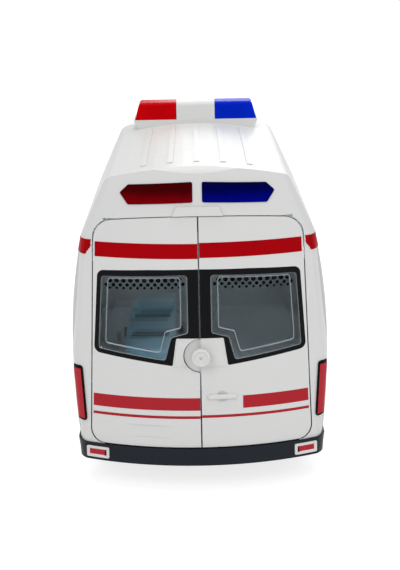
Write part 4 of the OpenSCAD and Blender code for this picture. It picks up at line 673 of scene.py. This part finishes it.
# The warning lenses get painted shade that darkens them towards the top
WARN_LENS = dict(through=0.1, rough=0.12, ribs=1500.0, deep=0.4, fade=WARN_PAINTED_SHADE, shine=0.03, bend=1.15)
TAIL_LENS = dict(rough=0.16, ribs=1900.0, upright=0.0, deep=0.2, depth=0.1 * MM, strength=0.25, shine=0.15,
                 bend=1.15)
LENSES = {
    "headlight_lens": dict(tone="headlight", through=0.9, rough=0.04, ribs=2400.0, deep=0.05),
    "bar_red": dict(tone="bar_red", **BAR_LENS),
    "bar_blue": dict(tone="bar_blue", **BAR_LENS),
    "warning_red": dict(tone="warn_red", **WARN_LENS),
    "warning_blue": dict(tone="warn_blue", **WARN_LENS),
    "reflector_red": dict(tone="tail_red", through=0.12, **TAIL_LENS),
}
RIMMED_LENSES = {"tail_red": dict(tone="tail_red", through=0.1, **TAIL_LENS)}
PANES = {
    "window_pane": dict(tone="glass", gloss=(0.02, 0.05), drift=0.06, grain=60.0, depth=0.2 * MM, strength=0.05,
                        cover=0.45, bend=1.12),
}
MAKERS = ((PLASTICS, plastic), (LENSES, lens), (RIMMED_LENSES, rimmed_lens), (PANES, pane))
# Finish of each material slot that doesn't have its name
SLOT_FINISH = {
    "white_plastic": "white_shell", "black_plastic": "black_surround", "clear_lens": "headlight_lens",
    "smoke_glass": "window_pane", "red_lens": "reflector_red", "blue_lens": "bar_blue",
    "board_green": "lamp_board", "interior_grey": "tub_plastic", "cab_grey": "cab_plastic",
    "bed_blue": "bed_plastic", "frame_grey": "stretcher_frame", "case_grey": "case_plastic",
    "rim_plastic": "rim_silver",
}
# Nodes that look different from the rest of their slot
NODE_FINISH = {
    "lightbar_lens_red": "bar_red", "rear_warning_lens_red": "warning_red",
    "rear_warning_lens_blue": "warning_blue", "tail_light_left": "tail_red", "tail_light_right": "tail_red",
}


@functools.cache
def finish(name):
    """The material of a finish, made when it is first asked for."""
    make, table = next((make, table) for table, make in MAKERS if name in table)
    return make(name, **table[name])


def node_finish(node):
    """The finish of a CAD node: its own, or its slot's."""
    slot = SLOT_OF[node]
    return finish(NODE_FINISH.get(node) or SLOT_FINISH.get(slot, slot))


class AMBULANCE_OT_finishes(Operator):
    """Give every moulded part its plastic, glass, rubber or metal"""

    bl_idname = "ambulance.finishes"
    bl_label = "Finishes"

    def execute(self, context):
        for node, shape in NODES.items():
            shape.data.materials.clear()
            shape.data.materials.append(node_finish(node))
            shape.data.shade_smooth()
            pick(shape)
            bpy.ops.object.shade_smooth_by_angle(angle=SMOOTH_ANGLE)
        deselect()
        return {"FINISHED"}


# Outer edge of a rear door at its lower and upper end, as x and z
DOOR_EDGE = ((48.87 * MM, 21 * MM), (45.2 * MM, 112.5 * MM))
# How much lower the prints of the left door sit than those of the right one
LEFT_DROP = 0.4 * MM
# Smallest step of a film on a door
FINE_STEP = 0.6 * MM


def door_trim(side, gap):
    """Cut along a door's outer edge, a gap inside it."""
    (x0, z0), (x1, z1) = DOOR_EDGE
    out = Vector((z1 - z0, 0, x0 - x1)).normalized()
    point = Vector((x0, 0, z0)) - out * gap
    return Vector((side * point.x, 0, point.z)), Vector((side * out.x, 0, out.z))


class AMBULANCE_OT_door_prints(Operator):
    """Print the red stripes and bands on the rear doors"""

    bl_idname = "ambulance.door_prints"
    bl_label = "Door prints"

    def execute(self, context):
        s = sizes()
        widest = DOOR_EDGE[0][0]
        for side, body, name in DOORS:
            drop, stripe_start = (LEFT_DROP, s.split_gap) if side < 0 else (0.0, s.stripe_start_x)
            rows = (
                ("stripe", s.stripe_low_z, s.stripe_h, stripe_start, "stripe_red"),
                ("pinstripe", s.pinstripe_z, s.pinstripe_h, s.split_gap, "stripe_red"),
                ("band", s.band_low_z, s.band_h, s.split_gap, "band_red"),
            )
            for title, low, tall, start, look in rows:
                across = sorted((side * start, side * widest))
                piece = film(f"{title}_{name}", REAR, across, (low - drop, low - drop + tall),
                             min(s.print_step, max(tall / 2, FINE_STEP)), [door_trim(side, s.edge_gap)])
                lay(piece, REAR, f"rear_door_{name}", s.print_t)
                dress(piece, body, look)
        return {"FINISHED"}


# Ends of the band along a side: a point on each slanted end and the direction past it, as y and z
BAND_REAR = ((-105.4 * MM, 108.3 * MM), (-0.97, -0.24))
BAND_FRONT = ((59.0 * MM, 108.3 * MM), (0.79, 0.61))
# Both ends of the films along a side, as y, before the band's ends are cut
SIDE_BAND_Y = (-106.6 * MM, 64.0 * MM)
SIDE_STRIPE_Y = (-98.5 * MM, 91.0 * MM)


class AMBULANCE_OT_side_prints(Operator):
    """Print the red band and stripes along the sides"""

    bl_idname = "ambulance.side_prints"
    bl_label = "Side prints"

    def execute(self, context):
        s = sizes()
        ends = [(Vector((0, *point)), Vector((0, *beyond))) for point, beyond in (BAND_REAR, BAND_FRONT)]
        for face in (LEFT, RIGHT):
            rows = (
                ("side_band", SIDE_BAND_Y, s.side_band_low_z, s.side_band_h, "band_red", ends),
                ("side_stripe", SIDE_STRIPE_Y, s.side_stripe_z, s.stripe_h, "stripe_red", ()),
                ("side_pinstripe", SIDE_STRIPE_Y, s.side_pinstripe_z, s.pinstripe_h, "stripe_red", ()),
            )
            for title, across, low, tall, look, trims in rows:
                piece = film(f"{title}_{face}", face, across, (low, low + tall), s.side_step, trims)
                lay(piece, face, "lower_body", s.side_print_t, SIDE_PRINT_PROUD, SIDE_REACH)
                dress(piece, VAN, look)
        return {"FINISHED"}


# Upper edge of a rear window from its inner to its outer end, as x and z
WINDOW_TOP = ((5.1 * MM, 97.2 * MM), (42.1 * MM, 95.8 * MM))
# Rows of dots: first x, how many, drop under the first row, radius
DOT_ROWS = (
    (8.4 * MM, 11, 0.0, 1.0 * MM),
    (6.85 * MM, 12, 1.9 * MM, 0.78 * MM),
    (8.4 * MM, 11, 3.3 * MM, 0.58 * MM),
)
# Width of the ring inside a dot's edge, as a share of its radius
DOT_INSET = 0.2
# Inside the doors, where the dots start before they are laid on the back of the windows
BEHIND_DOORS = -60 * MM


class AMBULANCE_OT_window_dots(Operator):
    """Print the rows of black dots on the inside of the rear windows"""

    bl_idname = "ambulance.window_dots"
    bl_label = "Window dots"

    def execute(self, context):
        s = sizes()
        (x0, z0), (x1, z1) = WINDOW_TOP
        for side, body, name in DOORS:
            places = []
            for first, count, drop, radius in DOT_ROWS:
                for step in range(count):
                    x = first + step * s.dot_pitch
                    top = z0 + (z1 - z0) * (x - x0) / (x1 - x0)
                    places.append(((side * x, BEHIND_DOORS, top - s.dot_drop - drop), radius))
            piece = copies(disc(1, DOT_INSET, FRONT), f"window_dots_{name}", places)
            lay(piece, FRONT, f"rear_window_{name}", s.print_t)
            dress(piece, body, "dot_black")
        return {"FINISHED"}


# How a window's rim and the wall of its recess face back, as the y of their directions
RIM_LIMIT, WALL_LIMIT = -0.8, 0.5


def window_step(edge):
    """True for the edge between a window's rim, which faces back, and the wall of its recess."""
    if len(edge.link_faces) != 2:
        return False
    back, wall = sorted(face.normal.y for face in edge.link_faces)
    return back < RIM_LIMIT and abs(wall) < WALL_LIMIT


class AMBULANCE_OT_window_highlights(Operator):
    """Trace painted highlights, thin light grey wires, along the step in each rear window"""

    bl_idname = "ambulance.window_edges"
    bl_label = "Window edges"

    def execute(self, context):
        for _, body, name in DOORS:
            piece = wire(f"window_edge_{name}", f"rear_window_{name}", window_step, sizes().window_edge_r)
            dress(piece, body, "painted_highlight_edge")
        return {"FINISHED"}


# Middle of a bumper reflector, as x and z
REFLECTOR_AT = (46.0 * MM, 16.75 * MM)


class AMBULANCE_OT_reflector_frames(Operator):
    """Put the white frames round the bumper reflectors"""

    bl_idname = "ambulance.reflector_frames"
    bl_label = "Reflector frames"

    def execute(self, context):
        s = sizes()
        x, z = REFLECTOR_AT
        for side, name in SIDES:
            across = (side * x - s.frame_w / 2, side * x + s.frame_w / 2)
            piece = ring(f"reflector_frame_{name}", REAR, across, (z - s.frame_h / 2, z + s.frame_h / 2),
                         s.frame_rim / 2, s.frame_rim)
            lay(piece, REAR, "rear_bumper", s.frame_t, FRAME_PROUD)
            dress(piece, VAN, "white_shell")
        return {"FINISHED"}


# Side doors: their length and height, corner radius and how far the upper front corner leans back
CAB_DOOR = ((36.5 * MM, 88.0 * MM), (55.0 * MM, 103.6 * MM), 5.0 * MM, 21.0 * MM)
LOAD_DOOR = ((-21.0 * MM, 34.5 * MM), (24.0 * MM, 103.6 * MM), 5.0 * MM, 0.0)


class AMBULANCE_OT_panel_lines(Operator):
    """Draw the lines round the cab doors and the sliding doors"""

    bl_idname = "ambulance.panel_lines"
    bl_label = "Panel lines"

    def execute(self, context):
        s = sizes()
        for face in (LEFT, RIGHT):
            for title, (across, up, corner, lean) in (("cab_line", CAB_DOOR), ("load_line", LOAD_DOOR)):
                piece = ring(f"{title}_{face}", face, across, up, corner, s.line_w, lean)
                lay(piece, face, "lower_body", s.line_t, reach=SIDE_REACH)
                dress(piece, VAN, "line_grey")
        return {"FINISHED"}


# Where the straps start along the stretcher bed, as shares of its length
STRAP_SHARES = (0.28, 0.66)


class AMBULANCE_OT_straps(Operator):
    """Lay the belts across the stretcher bed"""

    bl_idname = "ambulance.straps"
    bl_label = "Stretcher straps"

    def execute(self, context):
        s = sizes()
        low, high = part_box("stretcher_bed")
        for number, share in enumerate(STRAP_SHARES, 1):
            start = low[1] + (high[1] - low[1]) * share
            piece = film(f"strap_{number}", TOP, (low[0] + s.strap_margin, high[0] - s.strap_margin),
                         (start, start + s.strap_w), s.print_step)
            lay(piece, TOP, "stretcher_bed", s.strap_t, STRAP_PROUD)
            dress(piece, VAN, "strap_webbing")
        return {"FINISHED"}


class AMBULANCE_OT_mirror_glass(Operator):
    """Set the silvered glass in the mirrors"""

    bl_idname = "ambulance.mirror_glass"
    bl_label = "Mirror glass"

    def execute(self, context):
        s = sizes()
        for side, name in SIDES:
            low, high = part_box(f"mirror_{name}")
            end = high[0] if side > 0 else low[0]
            across = sorted((end - side * s.mirror_rim, end - side * (s.mirror_face - s.mirror_rim)))
            piece = film(f"mirror_glass_{name}", REAR, across, (low[2] + s.mirror_rim, high[2] - s.mirror_rim),
                         s.print_step / 2)
            lay(piece, REAR, f"mirror_{name}", s.print_t)
            dress(piece, VAN, "mirror_silver")
        return {"FINISHED"}


# Wiper blades: both ends of each, as x and z
WIPERS = (
    ((-4.0 * MM, 80.5 * MM), (-34.0 * MM, 84.5 * MM)),
    ((30.0 * MM, 80.5 * MM), (2.0 * MM, 84.5 * MM)),
)


class AMBULANCE_OT_wipers(Operator):
    """Lay the wiper blades on the windshield"""

    bl_idname = "ambulance.wipers"
    bl_label = "Wipers"

    def execute(self, context):
        s = sizes()
        for number, ((x0, z0), (x1, z1)) in enumerate(WIPERS, 1):
            middle = Vector(((x0 + x1) / 2, 0, (z0 + z1) / 2))
            side = Vector((z0 - z1, 0, x1 - x0)).normalized()
            trims = [(middle + side * way * s.blade_w / 2, side * way) for way in (-1, 1)]
            piece = film(f"wiper_{number}", FRONT, sorted((x0, x1)), (z0 - s.blade_w, z1 + s.blade_w),
                         s.print_step / 2, trims)
            lay(piece, FRONT, "windshield", s.blade_t, BLADE_PROUD)
            dress(piece, VAN, "grille_plastic")
        return {"FINISHED"}


# Middle of the pull handles on the cab door and the sliding door, as y and z
SIDE_HANDLES = (("cab_handle", (44.0 * MM, 62.0 * MM)), ("load_handle", (-14.0 * MM, 62.0 * MM)))
HANDLE_SEGMENTS = 3


class AMBULANCE_OT_side_handles(Operator):
    """Put the pull handles on the cab doors and the sliding doors"""

    bl_idname = "ambulance.side_handles"
    bl_label = "Side handles"

    def execute(self, context):
        s = sizes()
        for face in (LEFT, RIGHT):
            for title, (y, z) in SIDE_HANDLES:
                piece = film(f"{title}_{face}", face, (y - s.handle_l / 2, y + s.handle_l / 2),
                             (z - s.handle_h / 2, z + s.handle_h / 2), s.handle_l)
                lay(piece, face, "lower_body", s.handle_t, HANDLE_PROUD, SIDE_REACH)
                modify(piece, "BEVEL", width=s.handle_edge, segments=HANDLE_SEGMENTS, limit_method="ANGLE")
                dress(piece, VAN, "white_shell")
        return {"FINISHED"}


# Lamps in a headlight: middle as x and z, and radius
LAMPS = ((33.0 * MM, 53.4 * MM, 5.0 * MM), (44.4 * MM, 53.8 * MM, 4.2 * MM))
# Width of the ring inside a lamp's edge as a share of its radius, and its rounding as a share of its depth
LAMP_INSET, LAMP_ROUNDING = 0.12, 0.25
LAMP_SEGMENTS = 2


class AMBULANCE_OT_headlight_lamps(Operator):
    """Set the silvered lamp bowls and their bulbs in the headlights"""

    bl_idname = "ambulance.headlight_lamps"
    bl_label = "Headlight lamps"

    def execute(self, context):
        s = sizes()
        ahead = CAD_BOX[1][1] + STAND_OFF
        for side, name in SIDES:
            for title, share, thick, look in (("lamp_bowl", 1.0, s.bowl_t, "lamp_silver"),
                                              ("lamp_bulb", s.bulb_share, s.bulb_t, "lamp_bulb")):
                places = [((side * x, ahead, z), radius * share) for x, z, radius in LAMPS]
                piece = copies(disc(1, LAMP_INSET, FRONT), f"{title}_{name}", places)
                lay(piece, FRONT, f"headlight_{name}", thick, LAMP_PROUD)
                modify(piece, "BEVEL", width=thick * LAMP_ROUNDING, segments=LAMP_SEGMENTS,
                       limit_method="ANGLE")
                dress(piece, VAN, look)
        return {"FINISHED"}


FLOOR_SIZE = 40
# The floor's greys, as it lights the part and as the camera sees it, and its glow there
FLOOR_BOUNCE, FLOOR_SHOWN, FLOOR_GLOW = (0.80, 0.80, 0.80, 1), (0.42, 0.42, 0.43, 1), 0.76
WHITE = (1, 1, 1, 1)
# The world's light on the part, and how strong it and the white that the camera sees are
WORLD_TINT, WORLD_SOFT, WORLD_SHOWN = (0.98, 0.99, 1.0, 1), 0.62, 1.0
# Soft lights: name, place, size and power. All of them are turned to one point of the van.
LIGHTS = (
    ("top_light", (0.0, 0.05, 1.30), 1.0, 7.0),
    ("key_light", (-0.65, -1.05, 0.95), 0.7, 5.0),
    ("fill_light", (0.85, -0.85, 0.55), 0.8, 3.0),
    ("front_light", (0.30, 1.30, 0.70), 0.8, 4.0),
)
LIGHT_AIM = Vector((0, -0.04, 0.08))
# The camera: its place, how far it looks down, rolls and turns in degrees, and its sensor and lens in mm
CAMERA_AT = (0, -0.674, 0.241)
CAMERA_DOWN, CAMERA_ROLL, CAMERA_TURN = 14.85, -1.1, -0.05
CAMERA_SENSOR, CAMERA_LENS = 36, 85.26
CAMERA_NEAR = 0.01


def pale_floor():
    """A floor that looks nearly white and keeps a soft shadow."""
    deselect()
    bpy.ops.mesh.primitive_plane_add(size=FLOOR_SIZE)
    floor = named("floor")
    made, tree, shader = blank("pale_floor")
    tree.nodes.remove(shader)
    seen = add(tree, "LightPath")
    direct = maths(tree, "MAXIMUM", seen.outputs["Is Camera Ray"], seen.outputs["Is Glossy Ray"])
    direct = maths(tree, "MAXIMUM", direct, seen.outputs["Is Transmission Ray"])
    bounce = add(tree, "BsdfDiffuse", in_Color=FLOOR_BOUNCE)
    shown = add(tree, "BsdfDiffuse", in_Color=FLOOR_SHOWN)
    glow = add(tree, "Emission", in_Color=WHITE, in_Strength=FLOOR_GLOW)
    both = add(tree, "AddShader")
    choice = add(tree, "MixShader")
    tree.links.new(shown.outputs[0], both.inputs[0])
    tree.links.new(glow.outputs[0], both.inputs[1])
    tree.links.new(direct, choice.inputs[0])
    tree.links.new(bounce.outputs[0], choice.inputs[1])
    tree.links.new(both.outputs[0], choice.inputs[2])
    tree.links.new(choice.outputs[0], tree.nodes["Material Output"].inputs["Surface"])
    floor.data.materials.append(made)


def studio_world(scene):
    """White all round for the camera, and a softer light on the part."""
    world = scene.world or bpy.data.worlds.new("studio")
    scene.world = world
    world.use_nodes = True
    tree = world.node_tree
    tree.nodes.clear()
    seen = add(tree, "LightPath")
    shown = add(tree, "Background", in_Color=WHITE, in_Strength=WORLD_SHOWN)
    soft = add(tree, "Background", in_Color=WORLD_TINT, in_Strength=WORLD_SOFT)
    choice = add(tree, "MixShader")
    end = add(tree, "OutputWorld")
    tree.links.new(seen.outputs["Is Camera Ray"], choice.inputs[0])
    tree.links.new(soft.outputs[0], choice.inputs[1])
    tree.links.new(shown.outputs[0], choice.inputs[2])
    tree.links.new(choice.outputs[0], end.inputs["Surface"])


def soft_lights():
    """Area lights above, beside and in front of the van."""
    for name, place, size, power in LIGHTS:
        bpy.ops.object.light_add(type="AREA", location=place)
        lamp = bpy.context.object
        lamp.name = lamp.data.name = name
        lamp.data.size = size
        lamp.data.energy = power
        lamp.rotation_euler = (Vector(place) - LIGHT_AIM).to_track_quat("Z", "Y").to_euler()


def rear_camera(scene):
    """The camera behind the van, a little above it."""
    bpy.ops.object.camera_add(location=CAMERA_AT)
    eye = bpy.context.object
    eye.name = "camera"
    eye.data.sensor_width = CAMERA_SENSOR
    eye.data.lens = CAMERA_LENS
    eye.data.clip_start = CAMERA_NEAR
    eye.matrix_world = (Matrix.Translation(CAMERA_AT)
                        @ Matrix.Rotation(math.radians(CAMERA_TURN), 4, "Z")
                        @ Matrix.Rotation(math.radians(90 - CAMERA_DOWN), 4, "X")
                        @ Matrix.Rotation(math.radians(CAMERA_ROLL), 4, "Z"))
    scene.camera = eye


class AMBULANCE_OT_stage(Operator):
    """Add the floor, the soft lights and the camera"""

    bl_idname = "ambulance.stage"
    bl_label = "Stage"

    def execute(self, context):
        pale_floor()
        studio_world(context.scene)
        soft_lights()
        rear_camera(context.scene)
        context.scene.view_settings.view_transform = "Standard"
        deselect()
        return {"FINISHED"}


class AMBULANCE_PT_looks(Panel):
    """Lists the steps that dress the ambulance"""

    bl_idname = "AMBULANCE_PT_looks"
    bl_label = "Toy ambulance"
    bl_space_type = "VIEW_3D"
    bl_region_type = "UI"
    bl_category = "Ambulance"

    def draw(self, context):
        for step in STEPS:
            self.layout.operator(step.bl_idname)
        for values in (context.scene.ambulance_sizes, context.scene.ambulance_colours):
            box = self.layout.box()
            for name in values.__annotations__:
                box.prop(values, name)


STEPS = (
    AMBULANCE_OT_stage,
    AMBULANCE_OT_finishes,
    AMBULANCE_OT_door_prints,
    AMBULANCE_OT_side_prints,
    AMBULANCE_OT_window_dots,
    AMBULANCE_OT_window_highlights,
    AMBULANCE_OT_reflector_frames,
    AMBULANCE_OT_panel_lines,
    AMBULANCE_OT_straps,
    AMBULANCE_OT_mirror_glass,
    AMBULANCE_OT_wipers,
    AMBULANCE_OT_side_handles,
    AMBULANCE_OT_headlight_lamps,
)
CLASSES = (AmbulanceSizes, AmbulanceColours, *STEPS, AMBULANCE_PT_looks)


def register():
    for cls in CLASSES:
        bpy.utils.register_class(cls)
    bpy.types.Scene.ambulance_sizes = PointerProperty(type=AmbulanceSizes)
    bpy.types.Scene.ambulance_colours = PointerProperty(type=AmbulanceColours)


def unregister():
    del bpy.types.Scene.ambulance_colours
    del bpy.types.Scene.ambulance_sizes
    for cls in reversed(CLASSES):
        bpy.utils.unregister_class(cls)


def main():
    register()
    for step in STEPS:
        area, operator = step.bl_idname.split(".")
        getattr(getattr(bpy.ops, area), operator)()


if __name__ == "__main__":
    main()
